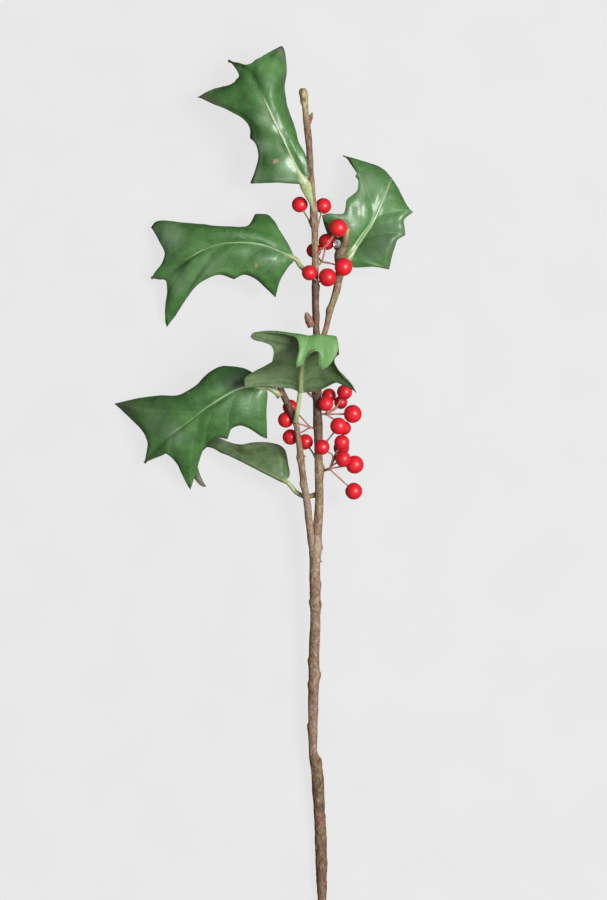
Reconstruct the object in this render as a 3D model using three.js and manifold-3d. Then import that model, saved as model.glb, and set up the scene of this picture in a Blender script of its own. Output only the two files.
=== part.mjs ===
// A cut sprig of holly (Ilex) with ripe berries, lying on a table.
//
// Millimetres, +Z up. The sprig lies along Y: its cut end is at -Y, its growing tip at +Y, and the side that
// faces up (+Z) is its front. Points are written in the sprig's own coordinates, in which y is the height up the
// stem from the cut end, x is sideways from the stem and z is the height above the table. The last lines move
// the whole sprig so that the origin is the middle of its footprint, on the table.
//
// The woody stem grew as one piece and is one node. Each leaf (blade, midrib and leaf stalk), each berry and
// each fork of berry stalks is a node of its own, and a clear bead of resin sits on the upper twig.
import * as THREE from "three";
import { mergeVertices } from "three/addons/utils/BufferGeometryUtils.js";
import Module from "manifold-3d";

const wasm = await Module();
wasm.setup();

// Driving dimensions
const GAP = 0.3; // clearance between pieces that touch
const WOOD_SIDES = 9;
const WOOD_STEP = 7; // length of one ring of wood
const CUT_ANGLE = 35; // slope of the secateurs' cut across the foot, in degrees
const BLADE_THICKNESS = 0.6;
const BLADE_COLUMNS = 3; // faces across each half of a blade
const BLADE_ROW_STEP = 0.065; // longest step between rows, as a share of the midrib
const LEAF_STALK_RADIUS = 0.95;
const RIB_END_RADIUS = 0.3;
const RIB_REACH = 0.7; // how far up the blade the raised midrib runs
const BERRY_STALK_RADIUS = 0.42;

const bark = new THREE.MeshStandardMaterial({ name: "bark", color: 0x7a5f4a, roughness: 0.8 });
const leafGreen = new THREE.MeshStandardMaterial({ name: "leaf", color: 0x3d6b3a, roughness: 0.3 });
const berryRed = new THREE.MeshStandardMaterial({ name: "berry", color: 0xc8141c, roughness: 0.2 });
const stalkRed = new THREE.MeshStandardMaterial({ name: "berry_stalk", color: 0x8a3d38, roughness: 0.6 });
const resin = new THREE.MeshStandardMaterial({ name: "resin", color: 0xd8d4cc, roughness: 0.05 });

// Wood: each route is a list of [x, y, z, radius]. The main stem runs from its foot to its tip.
const MAIN_STEM = [
  [5, 0, 2.4, 2.4],
  [4.6, 12.5, 2.8, 2.45],
  [4.2, 36, 3.9, 3],
  [2.8, 61.5, 5.4, 2.75],
  [2.3, 72, 6.1, 2.95],
  [1.9, 77.5, 6.5, 2.9],
  [1.4, 80.8, 6.8, 3],
  [0.3, 84.2, 7, 2.28],
  [0, 91, 7.5, 2.3],
  [0, 100, 8.1, 2.4],
  [0.4, 120, 9.6, 2.75],
  [0.9, 142.5, 11.3, 2.7],
  [1.2, 155, 12.3, 2.5],
  [1.1, 180.5, 14.2, 2.7],
  [3.1, 210.5, 16.6, 2.3],
  [2.6, 240, 19.1, 2.15],
  [2.1, 264, 21, 2.15],
  [1.8, 292, 22.8, 1.85],
  [1.25, 317, 24.1, 1.75],
  [1.1, 335.5, 25.1, 1.65],
  [0.4, 354, 26.2, 1.75],
  [-0.9, 373, 27, 1.5],
  [-2.2, 392, 27.6, 1.65],
  [-3, 400, 27.9, 1.75],
  [-4, 408, 28.2, 1.75],
  [-4.7, 413.5, 28.5, 2.2],
  [-4.9, 416.2, 28.6, 2.1],
  [-4.9, 417.6, 28.6, 1.3],
];
// Scars of old leaves, where the main stem swells: their heights up the stem.
const STEM_SCARS = [53, 99, 122, 132, 160, 170, 188];
const SCAR_SWELLING = 0.3;
const SCAR_LENGTH = 3;
// The side branch leaves the main stem low down and runs up beside it. The twig leaves it higher up.
const SIDE_BRANCH = [
  [1.6, 181, 14.4, 2],
  [-0.8, 193, 15.8, 2],
  [-3, 210.5, 18.4, 1.95],
  [-4.5, 221.5, 20.4, 1.75],
  [-7.1, 241, 24.2, 1.55],
  [-8.3, 249, 26, 1.4],
  [-10.8, 256.5, 27.4, 1.5],
  [-14, 263, 28.6, 1.5],
  [-17, 269.5, 29.4, 1.35],
];
const TWIG = [
  [2, 284, 22.4, 1.6],
  [6.4, 298, 22.6, 1.45],
  [9, 308.5, 22.2, 1.7],
  [10.6, 313.5, 21.9, 1.65],
  [12.1, 319, 21.8, 1.95],
  [13.1, 325, 21.7, 2.05],
  [13.5, 331, 21.8, 2.55],
  [13.9, 335, 22, 2.5],
  [15.3, 339, 22.6, 1.95],
  [16.4, 343, 23, 1.85],
  [17.5, 348.2, 23.4, 1.4],
];
// Pointed buds and stubs in the angle above an old leaf scar: [base, tip, radius].
const BUDS = [
  [[-0.8, 299, 24.2], [-3.5, 306.1, 25.6], 2],
  [[-2.4, 399.5, 28.2], [-0.3, 405.6, 28.8], 1.15],
  [[0.8, 263.6, 21.2], [-3.2, 266.4, 21.6], 0.75],
  [[-5.6, 234.4, 22.6], [-3.6, 234.2, 22.8], 0.75],
];

// Each leaf. `stalk` runs from the wood to the foot of the blade and `midrib` from there to the leaf's point.
// A margin is a list of spines from foot to point. `at` is where a spine's vein leaves the midrib, as a share of
// the midrib's length, `tip` is the spine's point, `bay` is the margin's way from the spine before, and `bulge` is
// how far the blade arches, in mm, between midrib and spine. The last entry of a margin has no tip of its own: it
// ends at the leaf's point. `left` and `right` are as seen with the upper face up and the leaf's point ahead.
const LEAVES = {
  leaf_top: {
    stalk: [[-1.4, 356.6, 29], [-2, 360.6, 29.9], [-3, 365, 31.2]],
    midrib: [
      [-4.1, 369.7, 33], [-11.2, 384, 36.5], [-19.6, 402.2, 38], [-26.5, 415.6, 36], [-31.5, 425, 31],
      [-42.3, 432, 20],
    ],
    left: [
      { at: 0.12, bulge: 6, bay: [[-23.4, 371.2, 25]], tip: [-31.6, 370.8, 21] },
      { at: 0.33, bulge: 4, bay: [[-29, 377.8, 25], [-27.6, 384.2, 26], [-29, 390.1, 27]], tip: [-31.8, 393, 26] },
      {
        at: 0.58,
        bulge: 3.5,
        bay: [
          [-31.8, 397.6, 28], [-35.2, 403.1, 28], [-43.1, 407.9, 25], [-51.3, 411.5, 20],
        ],
        tip: [-58.4, 414.4, 15],
      },
      {
        at: 1,
        bulge: 0,
        bay: [
          [-51.4, 417, 18], [-43.8, 417.8, 21.5], [-38.7, 418.8, 25], [-36.6, 420.4, 26.5],
          [-37.2, 424.8, 25.5], [-40, 429.4, 22.4],
        ],
      },
    ],
    right: [
      { at: 0.08, bulge: 1.5, bay: [[-2.8, 371.8, 32.4]], tip: [-0.6, 373.3, 31.4] },
      { at: 0.45, bulge: 7, bay: [[-3.1, 383.5, 31], [-7.2, 390, 29], [-11.2, 399.7, 22]], tip: [-13, 404.4, 18] },
      {
        at: 0.68,
        bulge: 5,
        bay: [
          [-14.7, 412.6, 17], [-14.8, 419.5, 20], [-13.1, 427.8, 23], [-13.3, 433.5, 23], [-14, 437.4, 23],
          [-14.6, 438.8, 23],
        ],
        tip: [-15.6, 439.5, 23],
      },
      {
        at: 1,
        bulge: 1,
        bay: [
          [-16.7, 439.1, 23.2], [-18.2, 438.2, 23.6], [-21.5, 435.2, 26], [-24.6, 432.2, 28],
          [-28.3, 429.2, 29], [-30.9, 427.4, 29], [-35.6, 429.6, 25], [-40, 431.2, 22],
        ],
      },
    ],
  },
  leaf_right: {
    stalk: [[14.8, 319.2, 19.6], [16.2, 326, 17.4]],
    midrib: [
      [17.6, 333.6, 16.6], [23.5, 342.6, 17.4], [29.1, 350.6, 18.4], [33.5, 360.1, 17.8], [37.7, 369.2, 14.8],
      [39.8, 374.4, 11], [37.5, 369.5, 4.5], [32.5, 362.5, 1.5],
    ],
    left: [
      { at: 0.06, bulge: 1, bay: [[12.5, 336, 15.3], [7.8, 344.6, 15.4], [5.6, 350, 18.8]], tip: [4.4, 354.7, 22] },
      {
        at: 0.46,
        bulge: 1,
        bay: [
          [7.9, 355.6, 22.8], [12.3, 355.3, 22.4], [15.4, 355.8, 22], [16.4, 358.7, 21.8], [17, 362.5, 21.3],
          [19.8, 365, 20.6], [22.3, 367.4, 19.6], [23.1, 371.3, 18.2], [23.1, 374.5, 17], [21.7, 375, 16],
          [22.6, 376.4, 15.5], [21.4, 379.1, 13.5], [20, 382.2, 11.5], [18.3, 384.6, 9.5],
        ],
        tip: [15.4, 385.9, 8],
      },
      { at: 0.8, bulge: 2.5, bay: [[25, 383, 6]], tip: [30, 378.5, 0.8] },
      { at: 1, bulge: 2, bay: [[30, 370, 1.6]] },
    ],
    right: [
      {
        at: 0.08,
        bulge: 3,
        bay: [
          [19.9, 329.3, 15.6], [24.2, 329, 16], [30.6, 329.2, 16.4],
        ],
        tip: [38.3, 327.9, 14],
      },
      {
        at: 0.28,
        bulge: 1,
        bay: [
          [40, 335.5, 16.6], [41.3, 339.6, 17.6], [42.5, 342.7, 17.6],
        ],
        tip: [46.4, 345.2, 16],
      },
      { at: 0.46, bulge: 0.5, bay: [[46, 349, 17], [45.8, 352.8, 16.5]], tip: [50.4, 357, 14] },
      { at: 0.75, bulge: 0.5, bay: [[48.2, 359, 10]], tip: [45.4, 361.4, 4.5] },
      { at: 1, bulge: 2, bay: [[39, 364, 1.5]] },
    ],
  },
  leaf_upper_left: {
    stalk: [[-1, 324, 23], [-5, 328.6, 22.8]],
    midrib: [
      [-8.8, 332.8, 25.6], [-24.5, 340, 26.2], [-42, 341, 25.6], [-56.5, 336.8, 22], [-68, 329.5, 15],
      [-81.3, 323.9, 8],
    ],
    left: [
      {
        at: 0.06,
        bulge: 4,
        bay: [
          [-12.1, 329.6, 22], [-15.3, 325, 19], [-17.5, 320.8, 16.5],
        ],
        tip: [-18.9, 314, 14],
      },
      {
        at: 0.3,
        bulge: 3,
        bay: [
          [-24, 318.5, 18], [-29, 322.8, 20.5], [-34.6, 324.8, 21.5],
        ],
        tip: [-39.5, 322.6, 20],
      },
      {
        at: 0.58,
        bulge: 5,
        bay: [
          [-47.1, 324.9, 19.5], [-54.7, 322, 17.5], [-59.1, 318.9, 15], [-63, 314.5, 12], [-66.2, 310.4, 8.5],
          [-69.4, 306.1, 5], [-71.7, 302.4, 2.5],
        ],
        tip: [-73.7, 299.2, 0.4],
      },
      {
        at: 1,
        bulge: 1,
        bay: [
          [-74.7, 302.4, 2], [-74.3, 306.8, 3.5], [-73.2, 313, 5.5], [-72.5, 318, 7], [-72.6, 321.1, 8],
          [-73.7, 322.8, 8.5], [-77.5, 322.9, 8.5],
        ],
      },
    ],
    right: [
      {
        at: 0.1,
        bulge: 4,
        bay: [
          [-12.7, 340.5, 22], [-17.8, 348.9, 18], [-20.9, 354, 15.5], [-22.5, 355.5, 14.5], [-25.9, 356.1, 13],
        ],
        tip: [-29.1, 356.2, 12],
      },
      {
        at: 0.62,
        bulge: 5,
        bay: [
          [-32.8, 350.1, 18], [-37.8, 348.9, 19], [-50.3, 349.2, 17], [-56.6, 350.3, 14], [-65.5, 351.6, 11],
          [-71.9, 352.6, 8], [-77, 353.2, 6], [-79.8, 352.3, 5],
        ],
        tip: [-81.9, 349.6, 4],
      },
      {
        at: 1,
        bulge: 1,
        bay: [
          [-78.7, 345.4, 6], [-75.7, 340.9, 8.5], [-74.6, 336.8, 10], [-76.4, 331.1, 9], [-79.1, 327.7, 8],
        ],
      },
    ],
  },
  leaf_front: {
    stalk: [[-8.2, 254.2, 29.3], [-7.2, 260, 31]],
    midrib: [
      [-6.5, 266.2, 33], [-5.8, 278, 40.5], [-3.4, 287, 50], [-1.5, 291.5, 54], [-0.5, 294, 57.5],
      [2.2, 294.2, 60], [3.8, 289, 61.8], [5.2, 283.5, 62.2], [4.8, 279.5, 62.3], [3.9, 276.7, 62.3],
    ],
    left: [
      {
        at: 0.2,
        bulge: 7,
        bay: [
          [-4.8, 266.1, 33], [-1.3, 266.2, 34], [3.2, 267.1, 35.5], [6.8, 268.6, 36.8], [9.9, 270.2, 38],
          [12.6, 270.8, 39], [16.7, 269.2, 40],
        ],
        tip: [21.9, 265.6, 41],
      },
      {
        at: 0.4,
        bulge: 3,
        bay: [
          [19.4, 270.3, 41], [14.9, 274.8, 42], [12.2, 278.4, 44], [10.8, 281.5, 46], [11.4, 283.5, 48],
        ],
        tip: [13.1, 284.9, 50.4],
      },
      { at: 0.66, bulge: 0, bay: [[12.4, 290.7, 56]], tip: [11.6, 293.5, 59.2] },
      {
        at: 1,
        bulge: 0,
        bay: [
          [12.4, 290, 61.2], [12, 285.6, 62.2], [10.7, 282.9, 62.5], [8.4, 279.7, 62.6], [5.9, 277.5, 62.5],
        ],
      },
    ],
    right: [
      {
        at: 0.16,
        bulge: 6,
        bay: [
          [-7.7, 266.6, 33], [-10.4, 267.9, 34], [-14.9, 268.2, 36], [-19.4, 268.4, 38], [-28.4, 268.5, 42],
        ],
        tip: [-33.5, 268.2, 44.5],
      },
      {
        at: 0.5,
        bulge: 4,
        bay: [
          [-34.3, 270.2, 45], [-33.8, 273.4, 45.5], [-30.6, 275.6, 46], [-25.6, 277.9, 47],
          [-21.1, 280.5, 48.5], [-20, 283.6, 50], [-19.8, 286.3, 52], [-21.1, 288.9, 54], [-24.7, 290.4, 56],
          [-29.3, 291.6, 58],
        ],
        tip: [-31.1, 293.3, 59],
      },
      {
        at: 0.7,
        bulge: 0,
        bay: [
          [-29.8, 295.2, 59], [-26.2, 295.8, 59], [-22, 295.8, 59], [-16.6, 295.3, 59], [-12.1, 294.3, 60],
          [-8.5, 293, 61.5], [-7.2, 290.5, 62.6], [-6.9, 286.9, 63.2], [-7.8, 283.3, 63.6],
          [-8.5, 279.8, 63.8],
        ],
        tip: [-8.3, 277.8, 63.8],
      },
      {
        at: 1,
        bulge: 0,
        bay: [
          [-6, 279, 63.8], [-4.2, 281.7, 63.6], [-2.5, 284.6, 63.3], [-0.7, 286.3, 62.9], [0.8, 286.7, 62.6],
          [2, 285.8, 62.5], [2.6, 283.3, 62.4], [2.5, 279.7, 62.3],
        ],
      },
    ],
  },
  leaf_lower_left: {
    stalk: [[-18.05, 266.4, 29.8], [-20.2, 268, 30.5]],
    midrib: [
      [-23, 269, 31], [-35, 268.7, 33], [-50.4, 260.2, 31.5], [-64, 250.4, 25.5], [-75.9, 241.7, 16.5],
      [-84.7, 231.1, 6],
    ],
    left: [
      {
        at: 0.05,
        bulge: 4,
        bay: [
          [-22.8, 265, 28.5], [-23.4, 256.9, 25], [-23.2, 247.8, 22],
        ],
        tip: [-23, 243.1, 20],
      },
      {
        at: 0.28,
        bulge: 3,
        bay: [
          [-25.9, 244.2, 22], [-29.5, 246.5, 23], [-33.1, 248.5, 25], [-36.3, 249.4, 26], [-39, 248.7, 26],
          [-40.9, 247.4, 25], [-41.8, 245.1, 23.5],
        ],
        tip: [-42.7, 242.6, 22],
      },
      {
        at: 0.55,
        bulge: 4,
        bay: [
          [-47.7, 243.3, 22.5], [-51.9, 241.7, 20.5], [-54.7, 238.3, 16], [-56.4, 234.2, 12.5],
          [-58.1, 229.6, 8], [-59.8, 223.2, 5],
        ],
        tip: [-61.6, 217.2, 3],
      },
      {
        at: 1,
        bulge: 1,
        bay: [
          [-63.2, 219.3, 4], [-65, 224.1, 7], [-66.7, 228.7, 9], [-68.8, 232.7, 12], [-70.3, 235.1, 13],
          [-72.1, 236.2, 13.5], [-75.4, 234.6, 11], [-81, 232.5, 8],
        ],
      },
    ],
    right: [
      { at: 0.17, bulge: 16, bay: [[-29, 273, 26]], tip: [-44.5, 277, 12] },
      {
        at: 0.55,
        bulge: 5,
        bay: [
          [-51.5, 275, 13], [-55.2, 271.2, 15], [-58.8, 267, 16], [-63.5, 264.8, 15.5], [-71.7, 263.4, 13],
          [-79.1, 263.3, 10], [-85.6, 263.2, 7], [-91.2, 262.8, 4], [-96.8, 261.9, 2],
        ],
        tip: [-100.5, 261, 0.4],
      },
      {
        at: 1,
        bulge: 1,
        bay: [
          [-96.8, 257.6, 2], [-92.1, 253.4, 4.5], [-87.4, 249.3, 7], [-84.1, 246.5, 9], [-82.5, 243.8, 9.5],
          [-82.7, 239.7, 8],
        ],
      },
    ],
  },
  leaf_lower_back: {
    stalk: [[0.8, 215.4, 14.4], [-3.6, 214.2, 14.4], [-7.8, 215, 15]],
    midrib: [
      [-13.2, 221.5, 16.6], [-23.2, 226.4, 17], [-32.3, 231.1, 16], [-43.2, 236.3, 13], [-53.5, 240, 8],
      [-59.8, 235, 5.2], [-59, 226, 3], [-56.2, 220.9, 2.2], [-54, 219, 2],
    ],
    left: [
      {
        at: 0.1,
        bulge: -3,
        bay: [
          [-11.8, 224.6, 15], [-12.5, 230.5, 13], [-14.1, 237.4, 11], [-16.4, 239.5, 10],
        ],
        tip: [-18.7, 240.4, 9.5],
      },
      {
        at: 0.42,
        bulge: -2,
        bay: [
          [-24.2, 241.1, 9.5], [-30.6, 240.8, 9.5], [-35.2, 239.9, 9.5], [-38.8, 240, 8], [-43.4, 241.3, 7],
        ],
        tip: [-47.1, 242.9, 6],
      },
      { at: 0.62, bulge: -1, bay: [[-52, 243.5, 4]], tip: [-58, 246, 1.6] },
      { at: 1, bulge: 0, bay: [[-62, 236, 2], [-60.6, 225.5, 1.6], [-58.2, 221.8, 1.8], [-56.4, 219.9, 1.9]] },
    ],
    right: [
      { at: 0.1, bulge: -2, bay: [[-13.5, 224, 9]], tip: [-16, 230, 3] },
      { at: 0.32, bulge: -2, bay: [[-24, 231, 4]], tip: [-32, 236, 1] },
      { at: 0.55, bulge: -1, bay: [[-43, 238.5, 2]], tip: [-53.5, 240.5, 0.8] },
      { at: 1, bulge: 0, bay: [[-59, 233, 1.2], [-57.8, 225.6, 1.4], [-55.9, 221.8, 1.7]] },
    ],
  },
};

// Each berry: [x, y, z, radius].
const BERRIES = {
  berry_01: [-6.6, 360, 23.6, 3.95],
  berry_02: [5.2, 359.4, 22.8, 3.95],
  berry_03: [12.5, 348, 29.5, 4.6],
  berry_04: [6.8, 341.6, 20.4, 4.15],
  berry_05: [0.4, 337.3, 18.6, 3.7],
  berry_06: [-1.8, 325.7, 30, 3.85],
  berry_07: [7.2, 323.5, 28, 4.55],
  berry_08: [15.2, 328.7, 28.9, 4.5],
  berry_09: [15.7, 266.4, 24, 3.8],
  berry_10: [8, 264.8, 16.6, 3.55],
  berry_11: [6.4, 260.6, 25.6, 3.8],
  berry_12: [13.9, 261.4, 16.4, 3.35],
  berry_13: [19.8, 255.5, 22, 4.55],
  berry_14: [12.8, 249.4, 25.2, 4.25],
  berry_15: [15.6, 248.5, 16.6, 3.5],
  berry_16: [14.4, 241.3, 23, 3.8],
  berry_17: [14.2, 238.6, 14, 3.9],
  berry_18: [15, 233, 23.4, 3.9],
  berry_19: [20.9, 230.2, 17, 4.55],
  berry_20: [4.5, 238.9, 25.9, 3.8],
  berry_21: [20.4, 216.9, 18, 4.25],
  berry_22: [-11.4, 259, 18, 3.8],
  berry_23: [-13.6, 252.6, 22.4, 3.95],
  berry_24: [-11.3, 244, 19.2, 3.9],
  berry_25: [-3.9, 241.6, 18.4, 3.9],
};

// Each fork of berry stalks: `foot` is where it leaves the wood, `fork` where it divides, and each stalk goes by
// way of `by`, if it has one, to its berry.
const STALKS = {
  stalk_top_left: { foot: [-1.9, 349.4, 25.6], fork: [-2.7, 352.2, 24.9], to: { berry_01: null } },
  stalk_top_right: { foot: [3.05, 348.2, 25.9], fork: [3.5, 351.4, 25], to: { berry_02: null } },
  stalk_upper: { foot: [2.6, 336, 26.6], fork: [7, 339.8, 28.2], to: { berry_03: null } },
  stalks_middle: {
    foot: [3.4, 330.5, 24.4],
    fork: [4.4, 331.4, 24],
    to: {
      berry_04: [5.4, 335, 22.6],
      berry_05: [3.4, 332.6, 21.2],
      berry_08: [8.4, 330.6, 26.6],
    },
  },
  stalks_low: {
    foot: [1.8, 321.4, 26.7],
    fork: [1.9, 322, 27.2],
    to: {
      berry_06: [0.6, 322.8, 27.9],
      berry_07: [3.1, 321.4, 27.1],
    },
  },
  stalks_right: {
    foot: [4.7, 255.4, 20.4],
    fork: [6.4, 255.4, 20.6],
    to: {
      berry_09: [12, 259.6, 22],
      berry_10: [7.6, 258.6, 18.6],
      berry_11: [7, 256.2, 22.8],
      berry_12: [10.8, 257.6, 18.4],
      berry_13: [12.4, 255.4, 20.8],
      berry_15: [10.8, 252.6, 18.4],
    },
  },
  stalk_right: { foot: [5.4, 240, 19.4], fork: [7.4, 242.4, 20.6], to: { berry_14: null } },
  stalks_low_right: {
    foot: [5.6, 227.4, 18.4],
    fork: [8.2, 228, 18.6],
    to: {
      berry_16: [10.8, 234.6, 20.2],
      berry_17: [10.6, 232.4, 17],
      berry_18: [10.6, 230.4, 20.4],
      berry_19: [13, 229, 17.8],
      berry_20: [9.8, 234.6, 22.4],
      berry_21: [12.4, 224.2, 18.4],
    },
  },
  stalks_left: {
    foot: [0, 248.6, 19.8],
    fork: [-1.4, 248.8, 19.8],
    to: {
      berry_22: [-5.8, 253.8, 19],
      berry_23: [-6.2, 250.4, 20.8],
      berry_24: [-5.6, 246.4, 19.6],
    },
  },
  stalk_left: { foot: [-0.3, 234.6, 18.6], fork: [-1, 236.4, 18.4], to: { berry_25: null } },
};

const RESIN_BEAD = { at: [12, 340.4, 25.1], radius: 2.1 };

const point = (values) => new THREE.Vector3(...values);
const mix = (from, to, share) => from + (to - from) * share;
const routeThrough = (points) => new THREE.CatmullRomCurve3(points, false, "centripetal");

// A closed surface through rings of equally many points, with a fan over each end.
function loft(rings) {
  const sides = rings[0].length;
  const positions = rings.flat().flatMap((p) => p.toArray());
  const index = [];
  for (let ring = 0; ring + 1 < rings.length; ring++) {
    for (let side = 0; side < sides; side++) {
      const a = ring * sides + side;
      const b = ring * sides + ((side + 1) % sides);
      index.push(a, b, b + sides, a, b + sides, a + sides);
    }
  }
  for (const [ring, turned] of [[0, true], [rings.length - 1, false]]) {
    const middle = rings[ring].reduce((sum, p) => sum.add(p), new THREE.Vector3()).divideScalar(sides);
    const centre = positions.length / 3;
    positions.push(...middle.toArray());
    for (let side = 0; side < sides; side++) {
      const a = ring * sides + side;
      const b = ring * sides + ((side + 1) % sides);
      index.push(...(turned ? [centre, b, a] : [centre, a, b]));
    }
  }
  const geometry = new THREE.BufferGeometry();
  geometry.setAttribute("position", new THREE.Float32BufferAttribute(positions, 3));
  geometry.setIndex(index);
  return geometry;
}

// A round rod along a route, with `radiusAt(share)` giving its radius from 0 at its start to 1 at its end.
function rod(points, radiusAt, sides, steps) {
  const route = routeThrough(points);
  const frames = route.computeFrenetFrames(steps, false);
  const rings = frames.tangents.map((_, step) => {
    const centre = route.getPointAt(step / steps);
    const radius = radiusAt(step / steps, centre);
    return Array.from({ length: sides }, (_, side) => {
      const turn = (side / sides) * 2 * Math.PI;
      return centre
        .clone()
        .addScaledVector(frames.normals[step], radius * Math.cos(turn))
        .addScaledVector(frames.binormals[step], radius * Math.sin(turn));
    });
  });
  return loft(rings);
}

function solidOf(geometry) {
  const plain = new THREE.BufferGeometry();
  plain.setAttribute("position", geometry.getAttribute("position"));
  plain.setIndex(geometry.index);
  const merged = mergeVertices(plain, 1e-4);
  const vertProperties = new Float32Array(merged.getAttribute("position").array);
  const triVerts = new Uint32Array(merged.index.array);
  return new wasm.Manifold(new wasm.Mesh({ numProp: 3, vertProperties, triVerts }));
}

function geometryOf(solid) {
  const { vertProperties, triVerts } = solid.getMesh();
  const geometry = new THREE.BufferGeometry();
  geometry.setAttribute("position", new THREE.BufferAttribute(vertProperties, 3));
  geometry.setIndex(new THREE.BufferAttribute(triVerts, 1));
  geometry.computeVertexNormals();
  return geometry;
}

const joined = (geometries) => geometryOf(geometries.map(solidOf).reduce((all, next) => all.add(next)));

// A length of wood. Its radius is read off a second curve, through the route's own radii, so both flow smoothly.
function wood(route, swellingAt = () => 0) {
  const points = route.map(point);
  const thickness = routeThrough(route.map(([, y, , radius]) => new THREE.Vector3(radius, y, 0)));
  const samples = thickness.getPoints(200);
  const radiusAt = (_, centre) => {
    const next = Math.max(1, samples.findIndex((sample) => sample.y >= centre.y));
    const [low, high] = [samples[next - 1], samples[next]];
    return mix(low.x, high.x, (centre.y - low.y) / (high.y - low.y)) + swellingAt(centre.y);
  };
  return rod(points, radiusAt, WOOD_SIDES, Math.round(routeThrough(points).getLength() / WOOD_STEP));
}

function bud([base, tip, radius]) {
  const outline = (share) => radius * Math.sqrt(Math.sin(Math.PI * mix(0.25, 0.97, share)));
  return rod([point(base), point(base).lerp(point(tip), 0.5), point(tip)], outline, 7, 4);
}

// The woody stem: main stem, side branch, upper twig and buds, all one growth, cut on a slant at the foot.
function woodyStem() {
  const scar = (y) => (height) => SCAR_SWELLING * Math.exp(-(((y - height) / SCAR_LENGTH) ** 2));
  const swellingAt = (y) => STEM_SCARS.map(scar(y)).reduce((sum, swelling) => sum + swelling, 0);
  const grown = joined([wood(MAIN_STEM, swellingAt), wood(SIDE_BRANCH), wood(TWIG), ...BUDS.map(bud)]);
  const slope = THREE.MathUtils.degToRad(CUT_ANGLE);
  const [x, y, , radius] = MAIN_STEM[0];
  const lowest = new THREE.Vector3(x - radius, y, 0);
  const keep = new THREE.Vector3(Math.sin(slope), Math.cos(slope), 0);
  return geometryOf(solidOf(grown).trimByPlane(keep.toArray(), lowest.dot(keep) + 2 * radius * Math.sin(slope)));
}

// One margin of a blade as a function of the share of the midrib: its point, and the arch of the blade there.
function marginOf(spines, midrib) {
  const foot = midrib.getPointAt(0);
  const apex = midrib.getPointAt(1);
  const beside = (end, towards, distance) => end.clone().addScaledVector(point(towards).sub(end).normalize(), distance);
  let at = 0;
  let bulge = 0;
  let tip = beside(foot, spines[0].tip, LEAF_STALK_RADIUS);
  const bays = spines.map((spine) => {
    const end = spine.tip ? point(spine.tip) : beside(apex, spine.bay.at(-1), BLADE_THICKNESS / 2);
    const bay = { from: at, to: spine.at, low: bulge, high: spine.bulge };
    bay.edge = routeThrough([tip, ...spine.bay.map(point), end]);
    [at, bulge, tip] = [spine.at, spine.bulge, end];
    return bay;
  });
  return (share) => {
    const { from, to, low, high, edge } = bays.find((bay) => share <= bay.to) ?? bays.at(-1);
    const along = (share - from) / (to - from);
    return { edge: edge.getPointAt(along), bulge: mix(low, high, along) };
  };
}

// Rows of the blade: every spine has one, and long gaps between them are divided evenly.
function rowsOf(leaf) {
  const marks = [0, ...leaf.left.map((s) => s.at), ...leaf.right.map((s) => s.at)];
  const sorted = [...new Set(marks)].sort((a, b) => a - b);
  const rows = [0];
  for (let i = 1; i < sorted.length; i++) {
    const [from, to] = [sorted[i - 1], sorted[i]];
    const steps = Math.max(i === 1 ? 3 : 2, Math.round((to - from) / BLADE_ROW_STEP));
    for (let step = 1; step <= steps; step++) rows.push(mix(from, to, step / steps));
  }
  return rows;
}

// The blade's middle surface as a grid of points: rows up the midrib, columns from left margin to right.
function bladeGrid(leaf, midrib, rows) {
  const left = marginOf(leaf.left, midrib);
  const right = marginOf(leaf.right, midrib);
  return rows.map((share) => {
    const rib = midrib.getPointAt(share);
    const ahead = midrib.getTangentAt(share);
    const half = (side, turn) => {
      const { edge, bulge } = side(share);
      const across = edge.clone().sub(rib);
      const up = ahead.clone().cross(across).multiplyScalar(turn).normalize();
      const arch = rib.clone().lerp(edge, 0.5).addScaledVector(up, bulge);
      const section = new THREE.QuadraticBezierCurve3(rib, arch, edge);
      return (step) => section.getPoint(step / BLADE_COLUMNS);
    };
    const leftHalf = half(left, 1);
    const rightHalf = half(right, -1);
    const row = [];
    for (let column = BLADE_COLUMNS; column > 0; column--) row.push(leftHalf(column));
    row.push(rib);
    for (let column = 1; column <= BLADE_COLUMNS; column++) row.push(rightHalf(column));
    return row;
  });
}

// The upward normal at each point of a grid, from its neighbours.
function normalsOf(grid) {
  const lastRow = grid.length - 1;
  const lastColumn = grid[0].length - 1;
  return grid.map((row, i) =>
    row.map((_, j) => {
      const ahead = grid[Math.min(i + 1, lastRow)][j].clone().sub(grid[Math.max(i - 1, 0)][j]);
      const across = grid[i][Math.min(j + 1, lastColumn)].clone().sub(grid[i][Math.max(j - 1, 0)]);
      return across.cross(ahead).normalize();
    }),
  );
}

function leafGeometry(leaf) {
  const midrib = routeThrough(leaf.midrib.map(point));
  const rows = rowsOf(leaf);
  const grid = bladeGrid(leaf, midrib, rows);
  const normals = normalsOf(grid);
  const skin = (i, offset) => grid[i].map((p, j) => p.clone().addScaledVector(normals[i][j], offset));
  const half = BLADE_THICKNESS / 2;
  const blade = loft(grid.map((_, i) => [...skin(i, half), ...skin(i, -half).reverse()]));
  const under = rows
    .map((share, i) => [share, grid[i][BLADE_COLUMNS].clone().addScaledVector(normals[i][BLADE_COLUMNS], -half)])
    .filter(([share]) => share > 0 && share < RIB_REACH)
    .map(([, p]) => p);
  const ribRadius = (share) => mix(LEAF_STALK_RADIUS, RIB_END_RADIUS, share);
  const rib = rod([...leaf.stalk.map(point), ...under], ribRadius, 6, 14);
  return joined([blade, rib]);
}

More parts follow.
